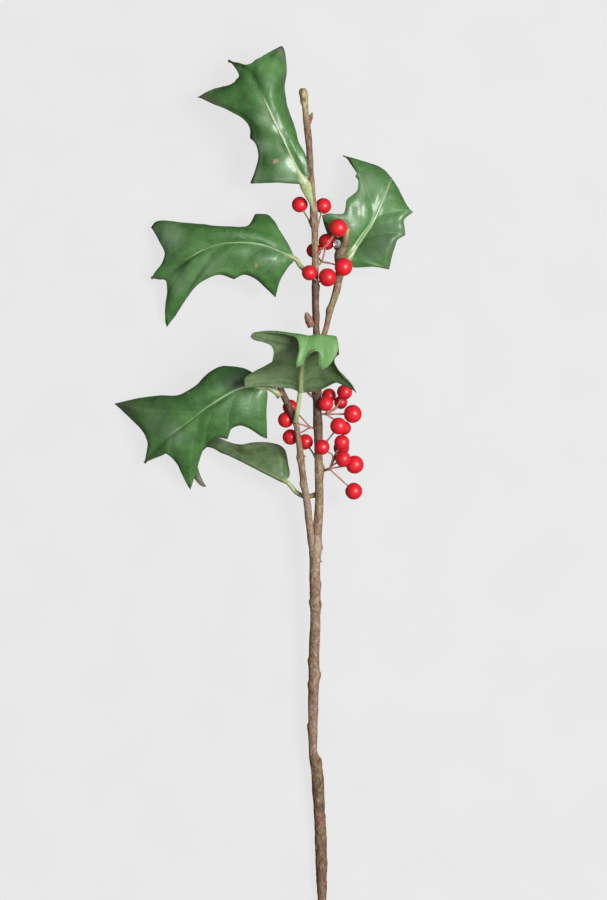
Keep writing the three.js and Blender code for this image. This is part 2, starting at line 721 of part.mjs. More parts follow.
// The fork of stalks that carries a group of berries; each stalk stops just short of its berry.
function stalksGeometry({ foot, fork, to }) {
  const slender = () => BERRY_STALK_RADIUS;
  const stout = (share) => mix(1.5, 1, share) * BERRY_STALK_RADIUS;
  const stalks = Object.entries(to).map(([name, by]) => {
    const [x, y, z, radius] = BERRIES[name];
    const centre = point([x, y, z]);
    const way = by ? point(by) : point(fork);
    const end = centre.clone().addScaledVector(way.clone().sub(centre).normalize(), radius + GAP);
    const points = by ? [point(fork), way, end] : [point(foot).lerp(point(fork), 0.5), way, end];
    return rod(points, slender, 5, 4);
  });
  return joined([rod([point(foot), point(foot).lerp(point(fork), 0.5), point(fork)], stout, 5, 2), ...stalks]);
}

function mesh(name, geometry, material) {
  const made = new THREE.Mesh(geometry, material);
  made.name = name;
  return made;
}

function ball(name, at, radius, material) {
  const made = mesh(name, new THREE.SphereGeometry(radius, 12, 8), material);
  made.position.copy(point(at));
  return made;
}

const sprig = new THREE.Group();
sprig.add(mesh("woody_stem", woodyStem(), bark));
for (const [name, leaf] of Object.entries(LEAVES)) sprig.add(mesh(name, leafGeometry(leaf), leafGreen));
for (const [name, [x, y, z, radius]] of Object.entries(BERRIES)) sprig.add(ball(name, [x, y, z], radius, berryRed));
for (const [name, stalks] of Object.entries(STALKS)) sprig.add(mesh(name, stalksGeometry(stalks), stalkRed));
sprig.add(ball("resin_bead", RESIN_BEAD.at, RESIN_BEAD.radius, resin));

const box = new THREE.Box3().setFromObject(sprig, true);
const middle = box.getCenter(new THREE.Vector3());
sprig.position.set(-middle.x, -middle.y, -box.min.z);

export default sprig;
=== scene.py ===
# %% [markdown]
# # A cut sprig of holly
#
# The object is a sprig of holly that was cut from its bush and laid down: one woody stem, six leathery leaves,
# twenty-five berries on thin stalks and a drop of resin. A CAD model of it already gives every part its place
# and size. This lesson gives each part its real shape and finish.
#
# The first step loads the CAD model as a fixed frame.

import math
from types import SimpleNamespace

import bpy
import numpy as np
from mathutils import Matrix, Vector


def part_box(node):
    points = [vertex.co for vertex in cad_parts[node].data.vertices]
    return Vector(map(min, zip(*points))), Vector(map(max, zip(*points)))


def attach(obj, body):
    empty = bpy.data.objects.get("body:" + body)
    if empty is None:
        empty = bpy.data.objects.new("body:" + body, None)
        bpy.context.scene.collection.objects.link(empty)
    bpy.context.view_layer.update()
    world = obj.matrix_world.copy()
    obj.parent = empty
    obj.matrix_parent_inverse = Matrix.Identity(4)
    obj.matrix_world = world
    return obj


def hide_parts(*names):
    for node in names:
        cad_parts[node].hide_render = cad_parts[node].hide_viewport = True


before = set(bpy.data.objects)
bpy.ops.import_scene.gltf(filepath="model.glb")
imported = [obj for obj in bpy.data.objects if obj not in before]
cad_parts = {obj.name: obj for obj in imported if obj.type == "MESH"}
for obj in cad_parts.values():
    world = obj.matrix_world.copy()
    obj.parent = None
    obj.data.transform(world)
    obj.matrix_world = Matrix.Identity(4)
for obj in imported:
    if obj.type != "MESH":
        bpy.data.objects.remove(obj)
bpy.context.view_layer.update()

# %% [markdown]
# ## Measuring along the sprig
#
# Botanists measure a sprig along its stem, so points below are written in millimetres with y as the height up
# the stem from the cut, x as the distance to its right and z as the height over the table. The frame is in
# metres from the middle of the sprig's footprint. The drop of resin is the one part whose place is known both
# ways, so it gives the shift from one to the other.

# %% From millimetres up the stem to metres in the frame
MILLIMETRE = 0.001
RESIN_AT = np.array([12, 340.4, 25.1])


def middle_and_radius(node):
    """Middle of a round CAD node in metres, and half its box's y side."""
    low, high = (np.array(corner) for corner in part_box(node))
    return (low + high) / 2, (high[1] - low[1]) / 2


SHIFT = middle_and_radius("resin_bead")[0] - RESIN_AT * MILLIMETRE


def placed(points):
    """Points in the frame: millimetres made metres, plus the shift."""
    return np.asarray(points) * MILLIMETRE + SHIFT


print("Foot of the stem is at", placed([5, 0, 2.4]).round(4))

# %% [markdown]
# ## The camera
#
# The sprig lies on a table and the camera looks straight down on it from a little over two metres, with a long
# lens. A long lens from far away keeps near and far parts at nearly the same scale. The lens follows from
# similar triangles: the sensor's long side is to the lens as the height of the view is to the distance. The
# height of the view is taken at the level where most of the sprig lies.

# %% Point the camera straight down
CAMERA_OVER = (-4.75, 237.5, 2200)
VIEW_HEIGHT, VIEW_PLANE = 450, 20
SENSOR_SIDE = 36
NEAREST, FURTHEST = 0.05, 20

scene = bpy.context.scene
camera = bpy.data.objects.new("camera", bpy.data.cameras.new("camera"))
scene.collection.objects.link(camera)
camera.location = placed(CAMERA_OVER)
camera.data.sensor_width = SENSOR_SIDE
camera.data.lens = SENSOR_SIDE * (CAMERA_OVER[2] - VIEW_PLANE) / VIEW_HEIGHT
camera.data.clip_start, camera.data.clip_end = NEAREST, FURTHEST
scene.camera = camera
print("Lens in mm:", round(camera.data.lens, 1))

# %% [markdown]
# ## Curves that grow
#
# A stem, a vein or a leaf's edge is a smooth curve through a few known points. Blender has curve objects for
# this, but numbers are easier to shape further, so the curve is worked out here. Between two points it is a
# cubic, and its direction at a point comes from the points on either side. This kind of spline passes through
# every point without overshooting.

# %% Smooth curves through points
STEPS_PER_POINT = 40


def unit(vectors):
    """Vectors divided by their lengths."""
    return vectors / np.maximum(np.linalg.norm(vectors, axis=-1, keepdims=True), 1e-9)


def curve(points):
    """A dense smooth line through points, by a centripetal Catmull-Rom spline.

    The parameter grows by the square root of each gap. The slope at a point is the slope behind plus the slope
    ahead less the slope across both. A cubic joins each two points with these slopes.
    """
    p = np.asarray(points, float)
    p = np.vstack([2 * p[0] - p[1], p, 2 * p[-1] - p[-2]])
    gap = np.sqrt(np.linalg.norm(np.diff(p, axis=0), axis=1))[:, None]
    slope = np.diff(p, axis=0) / gap
    tangent = slope[:-1] - (p[2:] - p[:-2]) / (gap[:-1] + gap[1:]) + slope[1:]
    start, end, span = p[1:-2, None], p[2:-1, None], gap[1:-1, None]
    leave, arrive = tangent[:-1, None] * span, tangent[1:, None] * span
    u = np.linspace(0, 1, STEPS_PER_POINT, endpoint=False)[:, None]
    cubic = (
        start
        + u * leave
        + u**2 * (3 * (end - start) - 2 * leave - arrive)
        + u**3 * (2 * (start - end) + leave + arrive)
    )
    return np.vstack([cubic.reshape(-1, p.shape[1]), p[-2]])


def length_along(path):
    """Length from the start of a path to each of its points."""
    return np.concatenate([[0], np.cumsum(np.linalg.norm(np.diff(path[:, :3], axis=0), axis=1))])


def at_shares(path, shares):
    """Points at given shares of a path's length, 0 at its start and 1 at its end."""
    length = length_along(path)
    return np.stack([np.interp(shares * length[-1], length, column) for column in path.T], axis=1)


print("A curve through 3 points has", len(curve([(0, 0, 0), (0, 5, 1), (0, 9, 0)])), "points")

# %% [markdown]
# ## Closed surfaces
#
# Every piece here is a skin through rings of points, like a sock over hoops, with a fan of triangles over each
# end. A ring may be a circle round a stalk or the outline of a slice through a leaf. The volume inside, counted
# with its sign, tells whether the triangles face outward; if not, they are turned round.

# %% Skins through rings, and the pieces made of them
def skin(rings, marks=None):
    """A closed surface through rings of equally many points, as (points, triangles, marks).

    Each square between two rings is two triangles. A mark is a number for each point, such as how near it is to
    a vein, which a material can read. The point in the middle of an end has its ring's mean.
    """
    rows, sides = rings.shape[:2]
    corner = np.arange(rows * sides).reshape(rows, sides)
    beside = np.roll(corner, -1, axis=1)
    a, b, c, d = corner[:-1], beside[:-1], beside[1:], corner[1:]
    first, last = np.full(sides, rows * sides), np.full(sides, rows * sides + 1)
    triangles = np.vstack([
        np.stack([a, b, c], -1).reshape(-1, 3),
        np.stack([a, c, d], -1).reshape(-1, 3),
        np.stack([first, beside[0], corner[0]], -1),
        np.stack([last, corner[-1], beside[-1]], -1),
    ])
    points = np.vstack([rings.reshape(-1, 3), rings[0].mean(0), rings[-1].mean(0)])
    p, q, r = (points[triangles[:, k]] - points[0] for k in range(3))
    if np.einsum("ij,ij->i", p, np.cross(q, r)).sum() < 0:
        triangles = triangles[:, ::-1]
    values = {name: np.broadcast_to(mark, (rows, sides)) for name, mark in (marks or {}).items()}
    return points, triangles, {
        name: np.concatenate([mark.ravel(), [mark[0].mean(), mark[-1].mean()]]) for name, mark in values.items()
    }


def piece(name, skins, finish, slot, *nodes):
    """One object from closed skins, with a finish, riding on the sprig in place of its CAD nodes."""
    offsets = np.cumsum([0] + [len(points) for points, _, _ in skins[:-1]])
    points = placed(np.vstack([points for points, _, _ in skins]))
    triangles = np.vstack([t + offset for (_, t, _), offset in zip(skins, offsets)])
    mesh = bpy.data.meshes.new(name)
    mesh.vertices.add(len(points))
    mesh.vertices.foreach_set("co", points.ravel())
    mesh.loops.add(triangles.size)
    mesh.loops.foreach_set("vertex_index", triangles.ravel().astype(np.int32))
    mesh.polygons.add(len(triangles))
    mesh.polygons.foreach_set("loop_start", np.arange(0, triangles.size, 3, dtype=np.int32))
    mesh.update(calc_edges=True)
    mesh.shade_smooth()
    for mark in skins[0][2]:
        values = np.concatenate([marks[mark] for _, _, marks in skins])
        mesh.attributes.new(mark, "FLOAT", "POINT").data.foreach_set("value", values.astype(np.float32))
    mesh.validate()
    mesh.materials.append(finish)
    made = bpy.data.objects.new(name, mesh)
    scene.collection.objects.link(made)
    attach(made, "root")
    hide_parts(*nodes)
    print(f"{name}: {len(skins)} skins, {len(triangles)} triangles")


# %% [markdown]
# ## Tubes
#
# Wood, berry stalks and leaf stalks are tubes round a curve. At each point of the curve two directions across it
# are needed. The direction in which the whole curve moves least never lies along the curve, so it makes a
# steady reference that doesn't twist.

# %% Rings round a path
def steady_up(path):
    """The direction in which a path spreads least: the last axis of its points' spread."""
    return np.linalg.svd(path - path.mean(0))[2][-1]


def directions(path, up):
    """Unit vectors at each point of a path: ahead along it, and side and top across it, with top nearest `up`."""
    ahead = unit(np.gradient(path, axis=0))
    side = unit(np.cross(ahead, up))
    return ahead, side, np.cross(side, ahead)


def rings_round(path, radii, side, top, angles):
    """Circles round a path: centre + radius x (cosine of the angle x side + sine of the angle x top)."""
    across = np.cos(angles)[:, None] * side[:, None] + np.sin(angles)[:, None] * top[:, None]
    return path[:, None] + radii[..., None] * across


def dome(shares, reach):
    """1 along a tube and down to 0 at its two ends, as a quarter circle over `reach` of its length."""
    inset = np.clip(np.minimum(shares, 1 - shares) / reach, 0, 1)
    return np.sqrt(1 - (1 - inset) ** 2)


print("Steady direction of a flat bend:", steady_up(curve([(0, 0, 0), (1, 5, 0), (0, 9, 0)])).round(2))

# %% [markdown]
# ## Randomness with a grain
#
# Nothing that grows is perfectly even. Bark has lumps and a leaf's blade is wavy. A block of random numbers,
# blended smoothly from one to the next, gives lumps of any size. It repeats after 48 lumps, too far on for an
# eye to notice. Its seed is fixed, so that every run grows the same sprig.

# %% Smooth random lumps
BLOCK_SIDE = 48
SEED_SHIFT = 7.31
chance = np.random.default_rng(20)
BLOCK = chance.uniform(-1, 1, (BLOCK_SIDE,) * 3)


def lumps(points, size, start=0):
    """Smooth random numbers from -1 to 1 at points, with lumps about `size` wide (one number, or one per axis).

    The eight nearest numbers of the block are blended, each weighted by the product of its shares along the
    three axes, and a share is eased by 3s^2 - 2s^3.
    """
    where = points / np.asarray(size) + start * SEED_SHIFT
    cell = np.floor(where).astype(int)
    share = where - cell
    share = share**2 * (3 - 2 * share)
    total = 0
    for corner in np.ndindex(2, 2, 2):
        x, y, z = np.moveaxis((cell + corner) % BLOCK_SIDE, -1, 0)
        total = total + BLOCK[x, y, z] * np.prod(np.where(corner, share, 1 - share), axis=-1)
    return total


def fade(values, start, end):
    """0 below start, 1 above end and an eased slope between; start may be the higher."""
    share = np.clip((values - start) / (end - start), 0, 1)
    return share**2 * (3 - 2 * share)


print("Lumps along a line:", lumps(np.linspace((0, 0, 0), (3, 0, 0), 4), 1).round(2))

# %% [markdown]
# ## Finishes as arithmetic
#
# A material is a net of nodes. Wired by hand in a script, it is hard to read, so one small class wraps a node's
# output and lets Python's + - * add the Math nodes. A finish then reads like a recipe: green times this, plus
# that where the vein runs.

# %% A wire between nodes
FACTOR, FIRST_COLOUR, SECOND_COLOUR, MIXED_COLOUR = 0, 6, 7, 2  # sockets of a Mix node set to colours


class Wire:
    """One output in a material's node net. Arithmetic on it adds Math nodes."""

    def __init__(self, net, socket=None):
        self.net, self.socket = net, socket

    def node(self, kind, settings=None, values=None, output=0):
        """Adds a node of a kind, makes its settings, then sets its inputs to numbers or wires; gives one output."""
        made = self.net.nodes.new(kind)
        for setting, value in (settings or {}).items():
            setattr(made, setting, value)
        for key, value in (values or {}).items():
            if isinstance(value, Wire):
                self.net.links.new(value.socket, made.inputs[key])
            else:
                made.inputs[key].default_value = value
        return Wire(self.net, made.outputs[output])

    def math(self, operation, *values):
        """A Math node on numbers or wires."""
        return self.node("ShaderNodeMath", {"operation": operation}, dict(enumerate(values)))

    def __add__(self, other):
        return self.math("ADD", self, other)

    def __sub__(self, other):
        return self.math("SUBTRACT", self, other)

    def __rsub__(self, other):
        return self.math("SUBTRACT", other, self)

    def __mul__(self, other):
        return self.math("MULTIPLY", self, other)

    __radd__, __rmul__ = __add__, __mul__

    def step(self, start, end):
        """0 below start, 1 above end, eased between."""
        return self.node("ShaderNodeMapRange", {"interpolation_type": "SMOOTHSTEP"}, {0: self, 1: start, 2: end})

    def mix(self, first, second):
        """A colour from first, where this wire is 0, to second, where it is 1."""
        first, second = (colour if isinstance(colour, Wire) else (*colour, 1) for colour in (first, second))
        colours = {FACTOR: self, FIRST_COLOUR: first, SECOND_COLOUR: second}
        return self.node("ShaderNodeMix", {"data_type": "RGBA"}, colours, MIXED_COLOUR)

    def mark(self, name):
        """The mark of that name on the piece's points."""
        return self.node("ShaderNodeAttribute", {"attribute_name": name}, output="Fac")

    def cloud(self, size, detail=2, roughness=0.5, along=1):
        """Noise on the object's coordinates: clouds about `size` mm wide, `along` times as long up the stem."""
        place = self.node("ShaderNodeTexCoord", output="Object")
        place = self.node("ShaderNodeVectorMath", {"operation": "MULTIPLY"}, {0: place, 1: (1, 1 / along, 1)})
        values = {"Vector": place, "Scale": 1 / (size * MILLIMETRE), "Detail": detail, "Roughness": roughness}
        return self.node("ShaderNodeTexNoise", values=values)

    def cells(self, size, feature="F1"):
        """Irregular cells about `size` mm wide: the distance to a cell's middle (F1) or to its edge."""
        place = self.node("ShaderNodeTexCoord", output="Object")
        values = {"Vector": place, "Scale": 1 / (size * MILLIMETRE)}
        return self.node("ShaderNodeTexVoronoi", {"feature": feature}, values)

    def bump(self, height):
        """Normals for a relief, in mm, that is too fine for the mesh."""
        return self.node("ShaderNodeBump", values={"Distance": MILLIMETRE, "Height": height, "Strength": 1.0})


print("Besides arithmetic, a wire has:", *(name for name in vars(Wire) if not name.startswith("_")))

# %% [markdown]
# A finish starts from one shader. What is the same all over a piece is set on the shader itself, and what
# changes over it is wired in. Most colours are built as a painter would: a base, then coat over coat, each
# covering its own share.

# %% Finishes and their coats
def new_finish(name, **constants):
    """A material with its shader's constants set, and a first wire to build its net from."""
    material = bpy.data.materials.new(name)
    material.use_nodes = True
    shader = material.node_tree.nodes["Principled BSDF"]
    for socket, value in constants.items():
        shader.inputs[socket.replace("_", " ")].default_value = value
    return material, Wire(material.node_tree)


def layered(base, *coats):
    """A base colour under coats, each a (share, colour): the share is a wire that says how much it covers."""
    for share, colour in coats:
        base = share.mix(base, colour)
    return base


def connect(material, **wires):
    """Wires into the shader's inputs, where an underscore stands for a space."""
    shader = material.node_tree.nodes["Principled BSDF"]
    for socket, wire in wires.items():
        material.node_tree.links.new(wire.socket, shader.inputs[socket.replace("_", " ")])
    print(f"{material.name}: {len(material.node_tree.nodes)} nodes")


print("Finishes so far:", len(bpy.data.materials))

# %% [markdown]
# ## Light and table
#
# The sprig lies in a light tent: pale light from all sides, most of it from above, and one big soft box on the
# right that draws a soft highlight on each berry and on each rise of a leaf. The tent is the world's light, and
# its strength is a function of the direction it comes from. The soft box is a round area light, turned to face
# the middle of the sprig.

# %% Set up the light tent
TENT_COLOUR = (0.93, 0.935, 0.95)
TENT_OVERHEAD, TENT_LEVEL, TENT_BELOW = 0.66, 0.17, 0.12
TENT_FROM_RIGHT = 0.5
SOFT_BOX_AT = (900, 420, 1500)
SOFT_BOX_SIDE = 0.85
SOFT_BOX_POWER = 42

scene.view_settings.view_transform = "Standard"
world = bpy.data.worlds.new("light tent")
scene.world = world
world.use_nodes = True
tent = world.node_tree.nodes["Background"]
tent.inputs["Color"].default_value = (*TENT_COLOUR, 1)
net = Wire(world.node_tree)
toward = net.node("ShaderNodeTexCoord", output="Generated")
right, height = (net.node("ShaderNodeSeparateXYZ", values={0: toward}, output=axis) for axis in "XZ")
strength = (
    TENT_LEVEL
    + height.step(0, 1) * (TENT_OVERHEAD - TENT_LEVEL)
    + height.step(0, -1) * (TENT_BELOW - TENT_LEVEL)
) * (1 + right * TENT_FROM_RIGHT)
world.node_tree.links.new(strength.socket, tent.inputs["Strength"])

light = bpy.data.lights.new("soft box", "AREA")
light.shape, light.size, light.energy = "DISK", SOFT_BOX_SIDE, SOFT_BOX_POWER
lamp = bpy.data.objects.new("soft box", light)
scene.collection.objects.link(lamp)
lamp.location = placed(SOFT_BOX_AT)
lamp.rotation_euler = lamp.location.to_track_quat("Z", "Y").to_euler()
lamp.visible_camera = False
print("Light tent, and a soft box", round(lamp.location.length, 2), "m from the sprig")

# %% [markdown]
# The sprig lies on a plain pale light table. Most of its brightness is a glow, which leaves hardly a shadow, and
# its colour is a touch uneven, as painted board is. It is a stage, not a part of the sprig, so it is left out of
# the sprig's reflections and throws no light up at it: the tent's own light from below does that.

# %% Lay the table
TABLE_SIDE = 6.0
TABLE_GLOW = 0.745
TABLE_PAINT = np.array([0.045] * 3)
UNEVEN_BY, UNEVEN_OVER = 0.06, 40

table_finish, net = new_finish(
    "pale table", Roughness=0.95, Specular_IOR_Level=0.1, Emission_Strength=TABLE_GLOW
)
speck = net.cloud(UNEVEN_OVER).step(0.3, 0.7)
connect(
    table_finish,
    Base_Color=speck.mix(TABLE_PAINT, (1 + UNEVEN_BY) * TABLE_PAINT),
    Emission_Color=speck.mix((0.985, 0.985, 0.985), (1, 1, 1)),
)
half = TABLE_SIDE / 2
top = bpy.data.meshes.new("table")
top.from_pydata([(-half, -half, 0), (half, -half, 0), (half, half, 0), (-half, half, 0)], [], [(0, 1, 2, 3)])
top.materials.append(table_finish)
table = bpy.data.objects.new("table", top)
scene.collection.objects.link(table)
table.visible_diffuse = table.visible_glossy = False
print("Table", TABLE_SIDE, "m wide")

# %% [markdown]
# ## The bark finish
#
# Young holly bark is smooth and thin: brown over a green layer that shows through in olive patches, with
# pink-brown streaks near the growing tip and tiny pale breathing pores. The oldest wood, below the step where it
# thickens, is darker and cracked. The marks say where the pores, scars, cracks and old wood are, and which
# stretches are olive, dark or pale; noise does the patches between. The patches are longer up the stem than
# across it, as the bark stretched when the shoot grew.

# %% Mix the bark
BARK_BROWN = (0.150, 0.078, 0.050)
BARK_TAN = (0.285, 0.170, 0.120)
BARK_OLIVE = (0.220, 0.180, 0.075)
BARK_PINK = (0.260, 0.105, 0.080)
BUD_PINK = (0.270, 0.095, 0.085)
BARK_OLD = (0.095, 0.054, 0.033)
BARK_GLINT = (0.400, 0.300, 0.235)
BARK_RUST = (0.185, 0.078, 0.042)
BARK_MOSS = (0.150, 0.112, 0.048)
BARK_HEAD = (0.400, 0.350, 0.150)
BARK_DARK = (0.040, 0.021, 0.016)
CUT_WOOD = (0.520, 0.430, 0.240)

bark_finish, net = new_finish("bark", Specular_IOR_Level=0.3)
grain = net.cloud(0.8, 4, 0.6, along=2.2)
patches = net.cloud(5, 3).step(0.42, 0.62)
green = net.cloud(8, 2).step(0.36, 0.6)
blush = net.cloud(4.5, 2).step(0.5, 0.66) * net.mark("young")
smudge = net.cloud(1.7, 3, 0.65, along=1.6).step(0.47, 0.6)
glint = net.cloud(2, 3, 0.6, along=1.8).step(0.52, 0.64)
speckle = net.cells(0.8).step(0.34, 0.14) * net.cloud(2.5, 2).step(0.42, 0.55)
olive_bark = net.cloud(1.6, 3, 0.6).step(0.46, 0.6).mix(BARK_OLIVE, BARK_RUST)
old_bark = layered(
    BARK_OLD,
    (net.cloud(3.6, 2, along=2).step(0.44, 0.56), BARK_MOSS),
    (net.cloud(2.6, 2, along=3).step(0.48, 0.58) * 0.85, BARK_RUST),
    (net.cloud(1.2, 3, 0.6, along=2.5).step(0.48, 0.38) * 0.9, BARK_DARK),
    (net.cloud(0.9, 3, 0.65, along=2.5).step(0.57, 0.66) * 0.6, BARK_GLINT),
)
bark_colour = layered(
    BARK_BROWN,
    (grain.step(0.34, 0.66), BARK_TAN),
    (patches * 0.6, BARK_BROWN),
    (green * (0.2 + net.mark("young") * 0.65), BARK_OLIVE),
    (net.mark("olive") * (0.5 + patches * 0.5), olive_bark),
    (blush * 0.7, BARK_PINK),
    (net.mark("bud") * 0.75, BUD_PINK),
    (net.mark("head") * (0.5 + grain * 0.6), BARK_HEAD),
    (speckle * 0.8, BARK_GLINT),
    (smudge * 0.6, BARK_OLD),
    (glint * 0.45 + net.mark("pale") * 0.4, BARK_GLINT),
    (net.mark("dark") * 0.9, (0.42 + smudge * 0.48).mix(old_bark, BARK_DARK)),
    (net.mark("old") * 0.9, old_bark),
    (net.mark("pore") * 0.7, BARK_TAN),
    (net.mark("scar") * 0.6, BARK_OLD),
    (net.mark("crack") * 0.85, BARK_DARK),
    (net.mark("cut"), grain.step(0.35, 0.65).mix(CUT_WOOD, BARK_OLIVE)),
)
connect(
    bark_finish,
    Base_Color=bark_colour,
    Roughness=0.5 + grain * 0.25 + net.mark("old") * 0.15,
    Normal=net.bump(grain * 0.16 + net.cloud(0.35, 2) * 0.05),
)

# %% [markdown]
# ## Wood
#
# A length of wood is a tube whose radius changes along the way. What makes it wood is the relief: long low
# ridges, an uneven girth, the ledges that fallen leaves have left, pores, and cracks across the oldest part. All
# of it is one formula on the grid of heights up the stem and angles round it, so the ledges and pores are real
# shape, and the marks for the finish come out of the same numbers.

# %% Bark relief
OLD_WOOD_BELOW, HEAD_ABOVE = 84, 408
BARK_RADIUS = 2.5
RIGHT, FRONT, LEFT = 0, math.pi / 2, math.pi
SCAR_WIDE, SCAR_RISE, SCAR_DROP = 2, 2.8, 1.3
PORE_WIDE, PORE_SHORTEST, PORE_LONGEST = 0.3, 0.3, 0.7
EVERYWHERE = 1.0


def round_the_stem(angles, angle):
    """Distance in mm round a stem from one angle to others, the short way."""
    return BARK_RADIUS * np.angle(np.exp(1j * (angles - angle)))


def bark(height, angles, seed, scars=(), pores=0):
    """Relief in mm and marks of bark at heights up the stem (rows) and angles round it (columns).

    Ridges are lumps stretched along the wood and cracks are the zeros of lumps stretched across it. A scar is a
    ledge: a bell across, a slow rise from below and a steeper drop above. A pore is a small bell. The relief is
    the sum of depth x where it is x pattern over all of them.
    """
    h, a = np.broadcast_arrays(height[:, None], angles[None])
    where = np.stack([BARK_RADIUS * np.cos(a), BARK_RADIUS * np.sin(a), h], -1)
    old = fade(h, OLD_WOOD_BELOW + 3, OLD_WOOD_BELOW - 3)
    crack = fade(np.abs(lumps(where, (2.2, 2.2, 0.9), seed)), 0.09, 0.02) * (0.12 + 0.88 * old)
    crack = crack * fade(lumps(where, (1.5, 1.5, 5), seed + 1), -0.1, 0.3)
    scar, pore = np.zeros(h.shape), np.zeros(h.shape)
    for scar_height, scar_angle in scars:
        rise = (h - scar_height) / np.where(h < scar_height, SCAR_RISE, SCAR_DROP)
        scar = np.maximum(scar, np.exp(-(rise**2) - (round_the_stem(a, scar_angle) / SCAR_WIDE) ** 2))
    lowest, highest = (height[0], 0, PORE_SHORTEST), (height[-1], 2 * math.pi, PORE_LONGEST)
    for pore_height, pore_angle, long in chance.uniform(lowest, highest, (pores, 3)):
        rise = (h - pore_height) / long
        pore = np.maximum(pore, np.exp(-(rise**2) - (round_the_stem(a, pore_angle) / PORE_WIDE) ** 2))
    relief = sum(
        depth * there * pattern
        for depth, there, pattern in (
            (0.09, EVERYWHERE, lumps(where, (1.2, 1.2, 15), seed + 2)),
            (0.3, EVERYWHERE, lumps(where, (3.4, 3.4, 6), seed + 3)),
            (0.08, EVERYWHERE, lumps(where, (0.6, 0.6, 1.6), seed + 4)),
            (0.3, fade(h, HEAD_ABOVE - 4, HEAD_ABOVE + 2), lumps(where, (1.8, 1.8, 2.2), seed + 6)),
            (0.16, old, lumps(where, (0.9, 0.9, 1.8), seed + 5)),
            (0.62, EVERYWHERE, scar),
            (0.09, EVERYWHERE, pore),
            (-0.13, EVERYWHERE, crack),
        )
    )
    return relief, {"old": old, "crack": crack, "scar": fade(scar, 0.5, 0.95), "pore": pore}


trial, _ = bark(np.linspace(100, 180, 200), np.linspace(0, 2 * math.pi, 60), 1)
print(f"Bark without pores or scars: {trial.min():.2f} to {trial.max():.2f} mm")

# %% [markdown]
# The two ends of a length of wood are cut faces: the last ring is carried inwards in a few steps, so that the
# face is flat and its edge crisp. The foot was cut on a slant with secateurs. Leaning the first rings over, less
# and less for the first centimetre, makes the slant without moving the stem.

# %% Lengths of wood
CAP_STEPS = np.array([0.03, 0.3, 0.6, 0.85, 0.96])
CAPS = len(CAP_STEPS)
CUT_SLOPE = math.tan(math.radians(35))
SLANT_REACH = 14
COLLAR_REACH = 3
UP = np.array([0, 0, 1.0])
NOWHERE = 500


def with_caps(values):
    """Values for each ring, with the first and last repeated for the rings of the cut faces."""
    return np.pad(values, ((CAPS, CAPS),) + ((0, 0),) * (values.ndim - 1), mode="edge")


def wood(
    route, sides, step, seed, scars, pores, swelling=0, slanted=False, cut=(0, 0), young_above=250,
    head_above=NOWHERE, **stretches,
):
    """A closed length of wood along a route of (x, y, z, radius), with flat ends and a paler head.

    Its radius is the route's x (1 + swelling x a decay up from its foot), plus the relief. A stretch is marked
    from one height to another with a strength, faded over 6 mm at both ends.
    """
    path = curve(route)
    shares = np.linspace(0, 1, int(length_along(path)[-1] / step))
    along = length_along(path)[-1] * shares
    line = at_shares(path, shares)
    centre, radius = line[:, :3], line[:, 3]
    _, side, top = directions(centre, UP)
    angles = np.linspace(0, 2 * math.pi, sides, endpoint=False)
    relief, marks = bark(centre[:, 1], angles, seed, scars, pores)
    girth = radius * (1 + swelling * np.exp(-along / COLLAR_REACH))
    inward = np.concatenate([CAP_STEPS, np.ones(len(shares)), CAP_STEPS[::-1]])[:, None]
    radii = with_caps(girth[:, None] + relief) * inward
    rings = rings_round(with_caps(centre), radii, with_caps(side), with_caps(top), angles)
    if slanted:
        lean = np.clip(1 - with_caps(along) / SLANT_REACH, 0, 1)[:, None]
        rings[..., 1] += lean * CUT_SLOPE * (radius[0] - radii * np.cos(angles))
    marks = {name: with_caps(mark) for name, mark in marks.items()}
    height = with_caps(np.broadcast_to(centre[:, 1:2], relief.shape))
    marks["young"] = fade(height, young_above, young_above + 100)
    marks["head"] = fade(height, head_above - 6, head_above + 3)
    for mark, ranges in stretches.items():
        marks[mark] = sum(
            strength * fade(height, low - 3, low + 3) * fade(height, high + 3, high - 3)
            for low, high, strength in ranges
        )
    face = (1 - fade(inward, 0.8, 0.99)) * np.ones(sides)
    first_half = np.arange(len(face))[:, None] < len(face) / 2
    marks["cut"] = face * np.where(first_half, *cut)
    return skin(rings, marks)


print(f"A cut face has {CAPS} rings, and the foot slants {CUT_SLOPE:.2f} mm for each mm across")

# %% [markdown]
# The main stem is the longest piece. It is traced from its foot to its growing tip by its middle and radius,
# with a step at 84 mm where the oldest wood ends, and a swollen head. Its leaf scars alternate, as the leaves
# did.

# %% Grow the main stem
MAIN_STEM = [
    (5, 0, 2.4, 2.4), (4.6, 12.5, 2.8, 2.45), (4.2, 36, 3.9, 3), (2.8, 61.5, 5.4, 2.75), (2.3, 72, 6.1, 2.95),
    (1.9, 77.5, 6.5, 2.9), (1.4, 80.8, 6.8, 3), (0.3, 84.2, 7, 2.28), (0, 91, 7.5, 2.3), (0, 100, 8.1, 2.4),
    (0.4, 120, 9.6, 2.75), (0.9, 142.5, 11.3, 2.7), (1.2, 155, 12.3, 2.5), (1.1, 180.5, 14.2, 2.7),
    (3.1, 210.5, 16.6, 2.3), (2.6, 240, 19.1, 2.15), (2.1, 264, 21, 2.15), (1.8, 292, 22.8, 1.85),
    (1.25, 317, 24.1, 1.75), (1.1, 335.5, 25.1, 1.65), (0.4, 354, 26.2, 1.75), (-0.9, 373, 27, 1.5),
    (-2.2, 392, 27.6, 1.65), (-3, 400, 27.9, 1.75), (-4, 408, 28.2, 1.75), (-4.7, 413.5, 28.5, 2.2),
    (-4.9, 416.2, 28.6, 2.1), (-4.9, 417.6, 28.6, 1.3),
]
